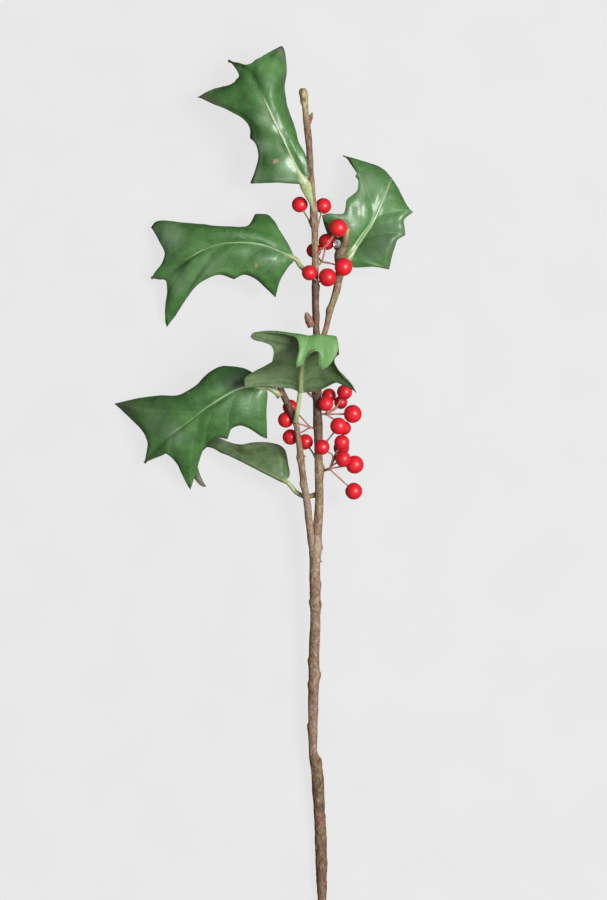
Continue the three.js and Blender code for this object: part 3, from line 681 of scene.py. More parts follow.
STEM_SCARS = [
    (189, RIGHT), (186.5, LEFT), (170.5, RIGHT), (161.5, LEFT), (160, RIGHT + 0.4), (132, LEFT), (125, RIGHT),
    (120, LEFT), (99, LEFT), (53, RIGHT), (319.5, RIGHT), (352, LEFT + 0.5), (412.5, FRONT), (266, LEFT),
    (229, RIGHT),
]

stem = wood(
    MAIN_STEM, 72, 0.46, 1, STEM_SCARS, pores=220, slanted=True, cut=(1, 0.6), head_above=HEAD_ABOVE,
    dark=[(242, 268, 1), (106, 120, 0.3), (290, 321, 0.9), (372, 399, 0.5)],
    pale=[(176, 196, 0.4)],
    olive=[(176, 262, 0.8), (290, 312, 0.5), (325, 350, 0.4), (375, 405, 0.5)],
)
piece("main_stem", [stem], bark_finish, "bark", "woody_stem")

# %% [markdown]
# The side branch leaves the main stem low down and runs up beside it, and a thin twig leaves it further up. Each
# starts inside its parent with a swollen collar, as a shoot does, so no gap shows.

# %% Grow the side branch and the twig
SIDE_BRANCH = [
    (1.6, 181, 14.4, 2), (-0.8, 193, 15.8, 2), (-3, 210.5, 18.4, 1.95), (-4.5, 221.5, 20.4, 1.75),
    (-7.1, 241, 24.2, 1.55), (-8.3, 249, 26, 1.4), (-10.8, 256.5, 27.4, 1.5), (-14, 263, 28.6, 1.5),
    (-17, 269.5, 29.4, 1.35),
]
BRANCH_SCARS = [(234, LEFT), (221, LEFT), (251, RIGHT)]
TWIG = [
    (2, 284, 22.4, 1.6), (6.4, 298, 22.6, 1.45), (9, 308.5, 22.2, 1.7), (10.6, 313.5, 21.9, 1.65),
    (12.1, 319, 21.8, 1.95), (13.1, 325, 21.7, 2.05), (13.5, 331, 21.8, 2.55), (13.9, 335, 22, 2.5),
    (15.3, 339, 22.6, 1.95), (16.4, 343, 23, 1.85), (17.5, 348.2, 23.4, 1.4),
]
TWIG_SCARS = [(307.5, LEFT), (329, RIGHT), (335.5, LEFT), (341, RIGHT + 0.6), (345, LEFT + 0.6)]

branch = wood(
    SIDE_BRANCH, 48, 0.5, 20, BRANCH_SCARS, pores=25, swelling=0.5, cut=(0, 0.4), young_above=300,
    dark=[(252, 300, 1)], olive=[(226, 246, 0.6)], pale=[(170, 222, 0.55)],
)
twig = wood(
    TWIG, 48, 0.45, 40, TWIG_SCARS, pores=20, swelling=0.5, cut=(0, 1), young_above=200, head_above=336,
    olive=[(316, 334, 0.7)], dark=[(327, 345, 0.8)],
)
piece("side_branch", [branch], bark_finish, "bark", "woody_stem")
piece("upper_twig", [twig], bark_finish, "bark", "woody_stem")

# %% [markdown]
# A bud is a pointed drop wrapped in small scales. Its outline is the root of a sine, cut off at the base, and
# each scale ends in a small step, which is the jump of a sawtooth that winds up the bud.

# %% Grow the buds
BUDS = [
    ((-0.8, 299, 24.2), (-3.5, 306.1, 25.6), 2), ((-2.4, 399.5, 28.2), (-0.3, 405.6, 28.8), 1.15),
    ((0.8, 263.6, 21.2), (-3.2, 266.4, 21.6), 0.75), ((-5.6, 234.4, 22.6), (-3.6, 234.2, 22.8), 0.75),
]
BUD_ROWS, BUD_SIDES = 40, 28
BUD_BASE, BUD_TIP = 0.25, 0.99
SCALE_TURNS, SCALE_STEP = 3, 0.2


def bud(base, tip, radius):
    """A drop-shaped bud from base to tip: radius x the root of a sine x (0.9 + the sawtooth of its scales)."""
    shares = np.linspace(0, 1, BUD_ROWS)[:, None]
    angles = np.linspace(0, 2 * math.pi, BUD_SIDES, endpoint=False)
    path = np.array(base) + shares * (np.array(tip) - base)
    _, side, top = directions(path, UP)
    outline = radius * np.sqrt(np.sin(math.pi * (BUD_BASE + (BUD_TIP - BUD_BASE) * shares)))
    scales = (SCALE_TURNS * shares + 0.5 * np.cos(angles - 1)) % 1
    marks = {"old": 0.3 * scales, "crack": fade(scales, 0.12, 0.0) * 0.7, "young": 1.0}
    marks |= {"head": 0.6 * fade(shares, 0.55, 0.9), "bud": 1.0}
    return skin(rings_round(path, outline * (0.9 + SCALE_STEP * scales), side, top, angles), marks)


piece("buds", [bud(*values) for values in BUDS], bark_finish, "bark", "woody_stem")

# %% [markdown]
# ## The leaf finish
#
# A holly leaf is leather with a coat of wax. The upper face is dark glossy green, mottled by the cells between
# its finest veins; the under face is paler and dull. The midrib is pale yellow-green, the margin is a thin dark
# horny rim, and the points dry to brown. One material serves both faces: a mark says which face a point is on.
# Another mark is above 0 where light is painted on as a pale sheen, and below 0 where shade is painted on.

# %% Leaf colours and patterns
LEAF_DEEP = (0.019, 0.080, 0.011)
LEAF_FRESH = (0.050, 0.155, 0.028)
LEAF_VEIN = (0.105, 0.230, 0.065)
LEAF_YOUNG = (0.107, 0.256, 0.068)
UNDER_DEEP = (0.036, 0.066, 0.020)
UNDER_FRESH = (0.085, 0.140, 0.048)
MIDRIB_PALE = (0.480, 0.540, 0.290)
MIDRIB_GREEN = (0.230, 0.380, 0.170)
STALK_GREEN = (0.240, 0.285, 0.110)
STALK_FOOT = (0.230, 0.190, 0.090)
RIM_DARK = (0.075, 0.046, 0.036)
POINT_BROWN = (0.092, 0.080, 0.055)
BLEMISH_PINK = (0.430, 0.250, 0.190)
FLECK_PALE = (0.300, 0.400, 0.220)
# The colours of painted light, a pale sheen, and of painted shade.
PAINTED_LIGHT_GREEN = (0.230, 0.340, 0.200)
PAINTED_SHADE_GREEN = (0.010, 0.048, 0.006)

leaf_finish, net = new_finish("leaf", Specular_IOR_Level=0.6, Coat_Roughness=0.2)
upper, vein, young, bloom = (net.mark(name) for name in ("upper", "vein", "young", "bloom"))
# Above 0 the mark paints light on as a pale sheen; below 0 it paints shade on.
painted_light, painted_shade = bloom.step(0, 1), bloom.step(0, -1)
shade = net.cloud(9, 3, 0.55).step(0.32, 0.68)
mottle = net.cells(0.9, "DISTANCE_TO_EDGE").step(0, 0.35)
grain = net.cloud(0.7, 3, 0.6)
fleck = net.cells(2.6).step(0.11, 0.04) * net.cloud(8, 1).step(0.55, 0.7)
print("Greens from", LEAF_DEEP, "to", LEAF_YOUNG)

# %% [markdown]
# The two faces are mixed apart and then joined by the mark for the face. Over both go the spots of painted light,
# a pale sheen, and of painted shade, a few pale flecks, the dark rim, the dried points, and last the midrib and the
# stalk, which are smooth and pale. The coat of wax is thin below, and thinner where the leaf is young or where
# shade is painted on.

# %% Mix the two faces and what lies over both
above = layered(
    LEAF_DEEP,
    (shade * 0.75 + grain * 0.3, LEAF_FRESH),
    (vein * 0.22, LEAF_VEIN),
    (net.cloud(3.2, 3, 0.6).step(0.5, 0.75) * 0.35, LEAF_VEIN),
    ((1 - mottle) * 0.1, LEAF_VEIN),
    (net.cloud(1.5, 3, 0.6).step(0.52, 0.72) * 0.25, LEAF_VEIN),
    (young * 0.85, LEAF_YOUNG),
)
below = layered(
    UNDER_DEEP,
    (shade * 0.5 + grain * 0.25 + net.cloud(3.4, 2).step(0.38, 0.62) * 0.4, UNDER_FRESH),
    (vein * 0.4, LEAF_VEIN),
)
midrib_colour = upper.mix(STALK_GREEN, net.mark("cream").mix(MIDRIB_GREEN, MIDRIB_PALE))
stalk_colour = layered(
    STALK_GREEN,
    (net.cloud(2.6, 2).step(0.3, 0.75) * 0.55, MIDRIB_PALE),
    (net.mark("foot"), STALK_FOOT),
)
leaf_colour = layered(
    upper.mix(below, above),
    # Painted light as a pale sheen, and painted shade, in the spots that each leaf lists.
    (painted_light * (0.42 + net.cloud(2.5, 3) * 0.3), PAINTED_LIGHT_GREEN),
    (painted_shade * 0.85, PAINTED_SHADE_GREEN),
    (fleck * 0.7, FLECK_PALE),
    (net.mark("rim") * net.cloud(4, 2).step(0.2, 0.6) * 0.85, RIM_DARK),
    (net.mark("point") * 0.8, POINT_BROWN),
    (net.mark("rib") * 0.92, midrib_colour),
    (net.mark("stalk"), stalk_colour),
    (net.mark("blemish"), BLEMISH_PINK),
)
wax = (0.08 + upper * 0.32) * (1 - young * 0.8) * (1 - painted_shade * 0.9)
connect(
    leaf_finish,
    Base_Color=leaf_colour,
    Roughness=0.6 - upper * 0.14 + (young + painted_shade) * 0.12 + net.cloud(5, 3).step(0.3, 0.7) * 0.12,
    Coat_Weight=wax * (0.75 + net.cloud(9, 1).step(0.3, 0.6) * 0.25),
    Normal=net.bump(mottle * 0.035 + grain * 0.03 + net.cloud(2.2, 2) * 0.12),
)

# %% [markdown]
# ## The blade's two margins
#
# A margin runs from the foot of the blade to its point by way of its spines, and a hollow bay lies between each
# two spines. Each spine has a vein of its own, which leaves the midrib at a known share of its length. So the
# margin can be read as a function of that share, which is what the surface needs.

# %% Margins
TIP_HALF = 0.14


def beside(end, towards, distance):
    """The point a distance from `end` in the direction of another point."""
    return end + distance * unit(np.asarray(towards, float) - end)


def margin(spines, rib, shares, foot_width):
    """Points of a margin, and the blade's arch in mm, at shares of the midrib.

    A bay is a smooth curve from one spine through its own points to the next, read off evenly by length between
    the shares at which the two spines' veins leave the midrib.
    """
    edge, arch = np.empty((len(shares), 3)), np.empty(len(shares))
    at, arched, tip = 0, 0, beside(rib[0], spines[0][3], foot_width)
    for next_at, next_arched, bay, next_tip in spines:
        next_tip = beside(rib[-1], bay[-1], TIP_HALF) if next_tip is None else next_tip
        rows = (shares >= at) & (shares <= next_at)
        along = (shares[rows] - at) / (next_at - at)
        edge[rows] = at_shares(curve([tip, *bay, next_tip]), along)
        arch[rows] = arched + (next_arched - arched) * along
        at, arched, tip = next_at, next_arched, next_tip
    return edge, arch


edge, _ = margin([(1, 2, [(6, 8, 0)], None)], curve([(0, 0, 0), (0, 9, 0), (0, 18, 0)]), np.linspace(0, 1, 5), 1)
print("A margin of one bay, half way up:", edge[2].round(1))

# %% [markdown]
# The rows of the blade's grid lie where they are needed: one at every spine, so that its point is sharp, and
# between two spines as many as the longer of the two margins there asks for.

# %% Rows of the grid
FEWEST_ROWS = 6


def rows_up(leaf, step):
    """Shares of the midrib for the rows: one at every spine, and even rows about `step` mm apart between."""
    marks = sorted({0, *(spine[0] for side in ("left", "right") for spine in leaf[side])})
    rows = [np.array([0.0])]
    for low, high in zip(marks, marks[1:]):
        reach = 0
        for side in ("left", "right"):
            at, tip = 0, leaf["midrib"][0]
            for next_at, _, bay, next_tip in leaf[side]:
                next_tip = leaf["midrib"][-1] if next_tip is None else next_tip
                if at <= low and high <= next_at:
                    length = length_along(curve([tip, *bay, next_tip]))[-1]
                    reach = max(reach, length * (high - low) / (next_at - at))
                at, tip = next_at, next_tip
        rows.append(np.linspace(low, high, max(FEWEST_ROWS, int(reach / step)) + 1)[1:])
    return np.concatenate(rows)


disc = {
    "midrib": [(0, 0, 0), (0, 20, 0)],
    "left": [(1, 0, [(-10, 10, 0)], None)],
    "right": [(1, 0, [(10, 10, 0)], None)],
}
print("A round leaf 20 mm across has", len(rows_up(disc, 2)), "rows about 2 mm apart")


# %% [markdown]
# Near the margin the blade follows every spine and bay, but towards the midrib it is calm. So the blade is first
# stretched to a smoothed margin, and what the smoothing took away is added back only close to the edge.

# %% Smoothing along the leaf
def smoothed(values, shares, width):
    """Each row as the bell-weighted mean of the rows around it; the first and last rows keep their places.

    The values are mirrored through both ends, upside down about the line between them, so that the mean at an
    end is the end itself.
    """
    values = values.reshape(len(shares), -1)
    line = values[0] + (values[-1] - values[0]) * shares[:, None]
    rest = values - line
    far = np.concatenate([-shares[:0:-1], shares, 2 - shares[-2::-1]])
    mirrored = np.concatenate([-rest[:0:-1], rest, -rest[-2::-1]])
    weight = np.exp(-(((shares[:, None] - far) / width) ** 2)) * np.gradient(far)
    return line + weight @ mirrored / weight.sum(1, keepdims=True)


steps = np.linspace(0, 1, 9)
print("A zigzag, smoothed:", smoothed(np.arange(9) % 2 + 0.0, steps, 0.2)[:, 0].round(2))

# %% [markdown]
# ## The blade as one surface
#
# The blade is a surface over two numbers: the share s up the midrib and v from the midrib, 0, to the margin, 1.
# Across each half it is a simple arch between midrib and margin. On it ride the things that make a holly leaf:
# veins that run to the spines, the blade quilted between them, slow waves, and a margin that curls under a
# little. Rows and columns crowd near the midrib and the margin, where the detail is.

# %% Half a blade
HALF_COLUMNS = 24
CALM = 0.035
SPINE_REACH = 2.2
ACROSS = (1 - np.cos(math.pi * np.arange(HALF_COLUMNS + 1) / HALF_COLUMNS)) / 2
VEIN_BOW = 0.1
VEIN_LEAN = 0.8
VEIN_HALF = 0.5
SIDE_VEIN = 0.55


def half_blade(rib, ahead, edge, arch, turn, shares):
    """One half of the sheet, midrib to margin, without and with its spines.

    Without: (1-v)^2 midrib + 2v(1-v) arch + v^2 smoothed margin. With: plus a steeper power of v times what the
    smoothing took away.
    """
    calm_edge = smoothed(edge, shares, CALM)
    up = unit(smoothed(turn * unit(np.cross(ahead, calm_edge - rib)), shares, CALM))
    lifted = (rib + calm_edge) / 2 + up * smoothed(arch, shares, CALM)
    v = ACROSS[:, None]
    calm = (1 - v) ** 2 * rib[:, None] + 2 * v * (1 - v) * lifted[:, None] + v**2 * calm_edge[:, None]
    return calm, calm + v**SPINE_REACH * (edge - calm_edge)[:, None]


def vein_pattern(spines, shares, midrib_length):
    """Strength of the veins on half a blade, how far the nearest is in mm, and how puffed up the blade is.

    A vein leaves the midrib before the share of its spine and bows towards it: it lies where s + bow x (1-v)^2
    is the spine's share. Weaker veins lie halfway between. The puff is a squared sine from one spine's vein to
    the next.
    """
    ats = [0, *(spine[0] for spine in spines)]
    halfway = [(low + high) / 2 for low, high in zip(ats, ats[1:])]
    bowed = shares[:, None] + VEIN_BOW * (1 - ACROSS) ** 2
    strength, nearest = np.zeros(bowed.shape), np.full(bowed.shape, 99.0)
    for at, force in [(at, 1.0) for at in ats[1:-1]] + [(at, SIDE_VEIN) for at in halfway]:
        away = np.abs(bowed - at) * midrib_length * VEIN_LEAN
        strength = np.maximum(strength, force * np.exp(-((away / VEIN_HALF) ** 2)))
        nearest = np.minimum(nearest, away + 2 * (1 - force))
    beds = np.clip(np.interp(bowed, ats, range(len(ats))), 0, len(ats) - 1)
    puff = np.sin(math.pi * beds) ** 2 * fade(ACROSS, 1, 0.5)
    return strength * fade(ACROSS, 0.97, 0.55), nearest, puff


print("Columns at", ACROSS[:6].round(3), "... of the way from midrib to margin")

# %% [markdown]
# The two halves meet at the midrib and make one sheet. How far a point lies from the midrib and from the margin,
# measured in millimetres along its row, is worked out once: the midrib's ridge, the rim and most of the relief
# depend on it.

# %% Both halves as one sheet
LEAF_STEP = 0.5
ON_RIGHT = np.arange(2 * HALF_COLUMNS + 1) > HALF_COLUMNS


def from_margin_to_margin(left, right):
    """Two halves side by side, from the left margin to the right one, with the midrib's column once."""
    return np.concatenate([left[:, :0:-1], right], axis=1)


def blade_sheet(leaf):
    """The blade's middle sheet: arrays over (rows up the midrib, columns from margin to margin).

    calm and sheet are its points without and with spines, and normal is its upward direction. from_rib and
    from_edge are the distances to the midrib and to the margin.
    """
    shares = rows_up(leaf, LEAF_STEP)
    midrib = curve(leaf["midrib"])
    length = length_along(midrib)[-1]
    rib = at_shares(midrib, shares)
    ahead = unit(smoothed(np.gradient(rib, axis=0), shares, 0.02))
    halves = []
    for side, turn, swelling in (("left", 1, leaf["puff"][0]), ("right", -1, leaf["puff"][1])):
        edge, arch = margin(leaf[side], rib, shares, leaf["stalk_radii"][1])
        calm, sheet = half_blade(rib, ahead, edge, arch, turn, shares)
        vein, gap, puff = vein_pattern(leaf[side], shares, length)
        out = np.cumsum(np.linalg.norm(np.diff(sheet, axis=1, prepend=sheet[:, :1]), axis=2), axis=1)
        halves.append((calm, sheet, vein, gap, swelling * puff, out))
    calm, sheet, vein, gap, puff, from_rib = (from_margin_to_margin(*pair) for pair in zip(*halves))
    left_width, right_width = (half[-1][:, -1:] for half in halves)
    return SimpleNamespace(
        shares=shares, up=shares[:, None], length=length, ahead=ahead, calm=calm, sheet=sheet, vein=vein, gap=gap,
        puff=puff, from_rib=from_rib, from_edge=np.where(ON_RIGHT, right_width, left_width) - from_rib,
        normal=unit(np.cross(np.gradient(calm, axis=1), np.gradient(calm, axis=0))),
    )


print("A sheet has", len(ON_RIGHT), "columns")

# %% [markdown]
# Now the relief. The midrib lies in a shallow channel, the blade swells between its veins, slow waves run
# through it, and the margin rises to a low shoulder before it curls under. A leaf may also have one crease
# beside its midrib, where it was pressed as it grew. Where the leaf is still young, the waves are lower.

# %% Relief of the blade
WAVES = ((0.7, 11), (0.25, 4.5))
CALM_SHARE = 0.25
QUILT_HIGH, QUILT_REACH = 0.2, 3
VEIN_SUNK = 0.08
CHANNEL_HALF = 4.2
CREASE_HALF = 1.8
SHOULDER_IN, SHOULDER_HALF = 3.2, 1.7
CURL_DEEP, CURL_REACH = 0.5, 1.3


def blade_relief(leaf, blade, seed):
    """How far the blade rises from its sheet, in mm: waves + quilt + channel + crease + shoulder - curl.

    Each is a height x a bell or an exponential of the distance to the midrib, a vein or the margin, and fades
    out towards the foot of the blade.
    """
    up, from_rib, from_edge = blade.up, blade.from_rib, blade.from_edge
    grown = fade(up, leaf["young_from"], leaf["young_from"] - 0.1)
    waves = sum(high * lumps(blade.sheet, long, seed + turn) for turn, (high, long) in enumerate(WAVES))
    waves = waves * (CALM_SHARE + (1 - CALM_SHARE) * grown)
    quilt = QUILT_HIGH * (1 - np.exp(-((blade.gap / QUILT_REACH) ** 2))) - VEIN_SUNK * blade.vein + blade.puff
    blade_open = fade(up, 0, 0.08) * fade(from_edge, 0, 3.5)
    shoulder = leaf["shoulder"] * np.exp(-(((from_edge - SHOULDER_IN) / SHOULDER_HALF) ** 2))
    shoulder = shoulder * fade(from_rib, 3, 7) * grown
    curl = (shoulder - CURL_DEEP * np.exp(-((from_edge / CURL_REACH) ** 2))) * fade(up, 0.02, 0.15)
    channel = -leaf["valley"] * np.exp(-((from_rib / CHANNEL_HALF) ** 2)) * (fade(up, 0, 0.12) * fade(up, 1, 0.5))
    crease_at, crease_high = leaf["crease"]
    crease = crease_high * np.exp(-np.abs(from_rib - crease_at) / CREASE_HALF) * ON_RIGHT
    crease = crease * fade(up, 0.02, 0.1) * fade(up, 0.62, 0.45)
    inner = (waves + quilt) * blade_open * fade(from_rib, 0.3, 3)
    return inner + (channel + crease) * fade(from_edge, 0, 5) + curl


print("Waves in mm, as (height, length):", *WAVES)

# %% [markdown]
# ## Skin on both sides, and the stalk
#
# The sheet gets a skin above and below, a fraction of a millimetre away. They meet in a rounded rim at the
# margin. The midrib is a rounded ridge below and a low one above.

# %% Thickness of the blade
RIM_HALF = 0.3
RIM_ROUND = 0.45
RIB_TIP = 0.12
RIB_WIDENS_IN = 9
FILLET_HIGH, FILLET_WIDE = 0.25, 1.6


def blade_thickness(leaf, blade):
    """Half thicknesses in mm over and under the sheet, and the midrib's radius at each row.

    The rim's profile is a quarter circle. A midrib of radius r stands sqrt(r^2 - distance^2) from the sheet, and
    the two are joined as the sides of a right angle are by the third. Below, a fillet eases the corner.
    """
    up, from_rib = blade.up, blade.from_rib
    _, blade_radius, flat = leaf["stalk_radii"]
    radius = leaf["rib"] * (1 - up) ** 0.7 + RIB_TIP
    radius = radius + (blade_radius - radius) * fade(up * blade.length, RIB_WIDENS_IN, 0)
    ridge = np.sqrt(np.maximum(radius**2 - from_rib**2, 0))
    fillet = FILLET_HIGH * radius * np.exp(-((from_rib / (FILLET_WIDE * radius)) ** 2)) * fade(up, 0, 0.05)
    rim = RIM_HALF * np.sqrt(1 - (1 - np.clip(blade.from_edge / RIM_ROUND, 0, 1)) ** 2)
    shown_above = leaf["rib_top"] + (1 - leaf["rib_top"]) * fade(up, 0.12, 0)
    flattened = 1 + (flat - 1) * fade(up, 0.1, 0)
    return np.hypot(rim, ridge * shown_above) * flattened, (np.hypot(rim, ridge) + fillet) * flattened, radius


print(f"A blade is {2 * RIM_HALF} mm thick away from its midrib")

# %% [markdown]
# Down at the foot the midrib's ridge is as wide as the blade, and there the same rings turn into the round leaf
# stalk, so blade, midrib and stalk are one closed skin, as they are in the plant. The stalk flattens towards the
# blade and widens into a small collar where it sits on the wood.

# %% The leaf stalk
STALK_STEP = 0.35
COLLAR_HIGH, COLLAR_LONG = 0.35, 1.2


def leaf_stalk(leaf, blade):
    """The stalk as a flat sheet of rows: their shares, points, upward directions and half thickness.

    It is a tube, so a point an angle t from the top lies girth x sin t to the side and thickness x cos t up.
    """
    foot_radius, blade_radius, flat = leaf["stalk_radii"]
    path = curve([*leaf["stalk"], *leaf["midrib"][:2]])[: len(leaf["stalk"]) * STEPS_PER_POINT + 1]
    length = length_along(path)[-1]
    shares = np.linspace(0, 1, int(length / STALK_STEP), endpoint=False)
    centre = at_shares(path, shares)
    _, side, top = directions(centre, np.cross(unit(blade.calm[0, -1] - blade.calm[0, 0]), blade.ahead[0]))
    turn = (math.pi / 2) * np.concatenate([-ACROSS[:0:-1], ACROSS])
    collar = 1 + COLLAR_HIGH * np.exp(-shares * length / COLLAR_LONG)
    girth = foot_radius + (blade_radius - foot_radius) * fade(shares, 0.1, 1)
    thick = girth * (1 + (flat - 1) * fade(shares, 0, 0.6)) * collar
    points = centre[:, None] + side[:, None] * ((girth * collar)[:, None] * np.sin(turn))[..., None]
    return shares, points, top, thick[:, None] * np.cos(turn)


print("Stalk rings are", STALK_STEP, "mm apart")

# %% [markdown]
# The finish needs to know where it is on the leaf, so each point carries marks: how near it is to the midrib, a
# vein, the rim or a point, which face it is on, and whether it lies in one of the few places where this leaf is
# dried or blemished, where light is painted on as a pale sheen, and where shade is painted on.

# %% Marks on the leaf
def spots(sheet, places):
    """A sum of round bells, strength x exp(-(distance / width)^2), at places given as (x, y, width, strength)."""
    total = np.zeros(sheet.shape[:2])
    for x, y, width, strength in places:
        total += strength * np.exp(-(np.hypot(sheet[..., 0] - x, sheet[..., 1] - y) ** 2) / width**2)
    return total


def blemished(sheet, places, seed):
    """The strongest of a few patches with ragged edges, at places given as (x, y, radius, strength)."""
    strongest = np.zeros(sheet.shape[:2])
    for x, y, radius, strength in places:
        away = np.hypot(sheet[..., 0] - x, sheet[..., 1] - y) + 0.35 * radius * lumps(sheet, radius, seed + 5)
        strongest = np.maximum(strongest, strength * fade(away, radius, 0.45 * radius))
    return strongest


def leaf_marks(leaf, blade, rib_radius, stalk_shares, seed):
    """Each mark's name, with its values on the stalk, on the blade, and the share of them on the under face."""
    up, from_rib, sheet, brown = blade.up, blade.from_rib, blade.sheet, leaf["brown_rim"]
    tips = [spine[3] for side in ("left", "right") for spine in leaf[side] if spine[3]] + [leaf["midrib"][-1]]
    from_tip = np.min(np.linalg.norm(sheet[:, :, None] - np.array(tips), axis=-1), axis=2)
    rib = fade(from_rib, 1.15 * rib_radius + 0.35, 0.8 * rib_radius + 0.1)
    rib = rib * (1 - leaf["groove"] * np.exp(-((from_rib / (0.6 * rib_radius)) ** 2)))
    rib = leaf["rib_tone"] * rib * fade(up, leaf["rib_ends"], leaf["rib_ends"] - 0.15)
    blade_radius = leaf["stalk_radii"][1]
    return {
        "upper": (0.4, 1, 0),
        "rib": (0, rib, 1),
        "vein": (0, blade.vein * fade(from_rib, 0, 1.5), 1),
        "rim": (0, brown * fade(blade.from_edge, 1.8 + 2.2 * brown, 0.6) * fade(up, 0, 0.06), 1),
        "cream": (0.6, leaf["cream"] + 0.6 * fade(up, 0.15, 0), 1),
        "point": (0, np.minimum(fade(from_tip, 1.5 + 4.5 * brown, 0.4) + spots(sheet, leaf["browned"]), 1), 1),
        "stalk": (1, fade(up, 0.035, 0) * fade(from_rib, 2.2 * blade_radius, blade_radius), 1),
        "foot": (fade(stalk_shares, 0.4, 0)[:, None], 0, 1),
        "young": (0, fade(up, leaf["young_from"] - 0.05, leaf["young_from"] + 0.05), 0),
        "blemish": (0, blemished(sheet, leaf["blemishes"], seed), 1),
        # Painted light, a pale sheen, where above 0, and painted shade where below 0.
        "bloom": (0, spots(sheet, leaf["blooms"]), 1),
    }


row = np.linspace((0, 0), (3, 0), 4)[None]
print("A spot 2 mm wide, 0 to 3 mm from its middle:", spots(row, [(0, 0, 2, 1)])[0].round(2))

# %% [markdown]
# Last, stalk and blade are put one after the other, and the under side is hung below the upper one. A ring of
# the skin runs over the leaf from its left margin to its right one, and back underneath.

# %% The whole leaf
def leaf_skin(leaf, seed):
    """The closed skin of a leaf, with its marks: points are sheet + upward x over, and sheet - upward x under."""
    blade = blade_sheet(leaf)
    blade.sheet = blade.sheet + blade.normal * blade_relief(leaf, blade, seed)[..., None]
    over, under, rib_radius = blade_thickness(leaf, blade)
    stalk_shares, stalk_points, stalk_top, stalk_lift = leaf_stalk(leaf, blade)
    sheet = np.concatenate([stalk_points, blade.sheet])
    upward = np.concatenate([np.broadcast_to(stalk_top[:, None], stalk_points.shape), blade.normal])
    over, under = (np.concatenate([stalk_lift, lift])[..., None] for lift in (over, under))
    rings = np.concatenate([sheet + upward * over, (sheet - upward * under)[:, -2:0:-1]], axis=1)
    marks = {}
    for name, (on_stalk, on_blade, below) in leaf_marks(leaf, blade, rib_radius, stalk_shares, seed).items():
        on_stalk = np.broadcast_to(on_stalk, stalk_lift.shape)
        values = np.concatenate([on_stalk, np.broadcast_to(on_blade, blade.sheet.shape[:2])])
        marks[name] = np.concatenate([values, below * values[:, -2:0:-1]], axis=1)
    return skin(rings, marks)


PLAIN_LEAF = {
    "rib": 0.2,  # radius of the midrib in mm
    "rib_top": 0.6,  # how much of its ridge shows on the upper face
    "rib_ends": 0.75,  # share of its length where its pale colour ends
    "rib_tone": 1,  # strength of that colour
    "cream": 0.3,  # how far it goes from green to cream
    "groove": 0,  # strength of a groove along its middle
    "puff": (0.9, 0.9),  # swelling between the veins of the left and the right half, in mm
    "valley": 1.9,  # depth of the channel that the midrib lies in, in mm
    "crease": (0, 0),  # how far right of the midrib a crease runs and how high it is, in mm
    "shoulder": 0.3,  # height of the rise inside the margin, in mm
    "brown_rim": 0.4,  # how brown the margin and the points are
    "young_from": 2,  # share of the midrib past which the blade is young, or 2 for nowhere
    "blemishes": [],  # patches as (x, y, radius, strength)
    "blooms": [],  # spots of painted light, a pale sheen, as (x, y, width, strength), with a strength below 0 for painted shade
    "browned": [],  # dried spots as (x, y, width, strength)
}


def grow_leaf(name, seed, **leaf):
    """One leaf in place of its CAD node: a plain leaf, apart from what is said of it."""
    piece(f"holly_{name}", [leaf_skin(PLAIN_LEAF | leaf, seed)], leaf_finish, "leaf", name)


print("A plain leaf has", len(PLAIN_LEAF), "values of its own")

# %% [markdown]
# ## Six leaves
#
# Each leaf is described from its stalk up. For every spine of a margin there is the share at which its vein
# leaves the midrib, how far the blade arches there in mm, the points of the bay before it, and the spine's own
# point. The last spine of a margin has none: it ends at the leaf's point. Left and right are as seen with the
# upper face up. The stalk's radii are those at its foot and at the blade, and how flat it is there.
#
# The top leaf rises to the left of the growing tip. It has the palest midrib and the brownest rim, and a crease
# runs beside its midrib. Its right half bends steeply down.

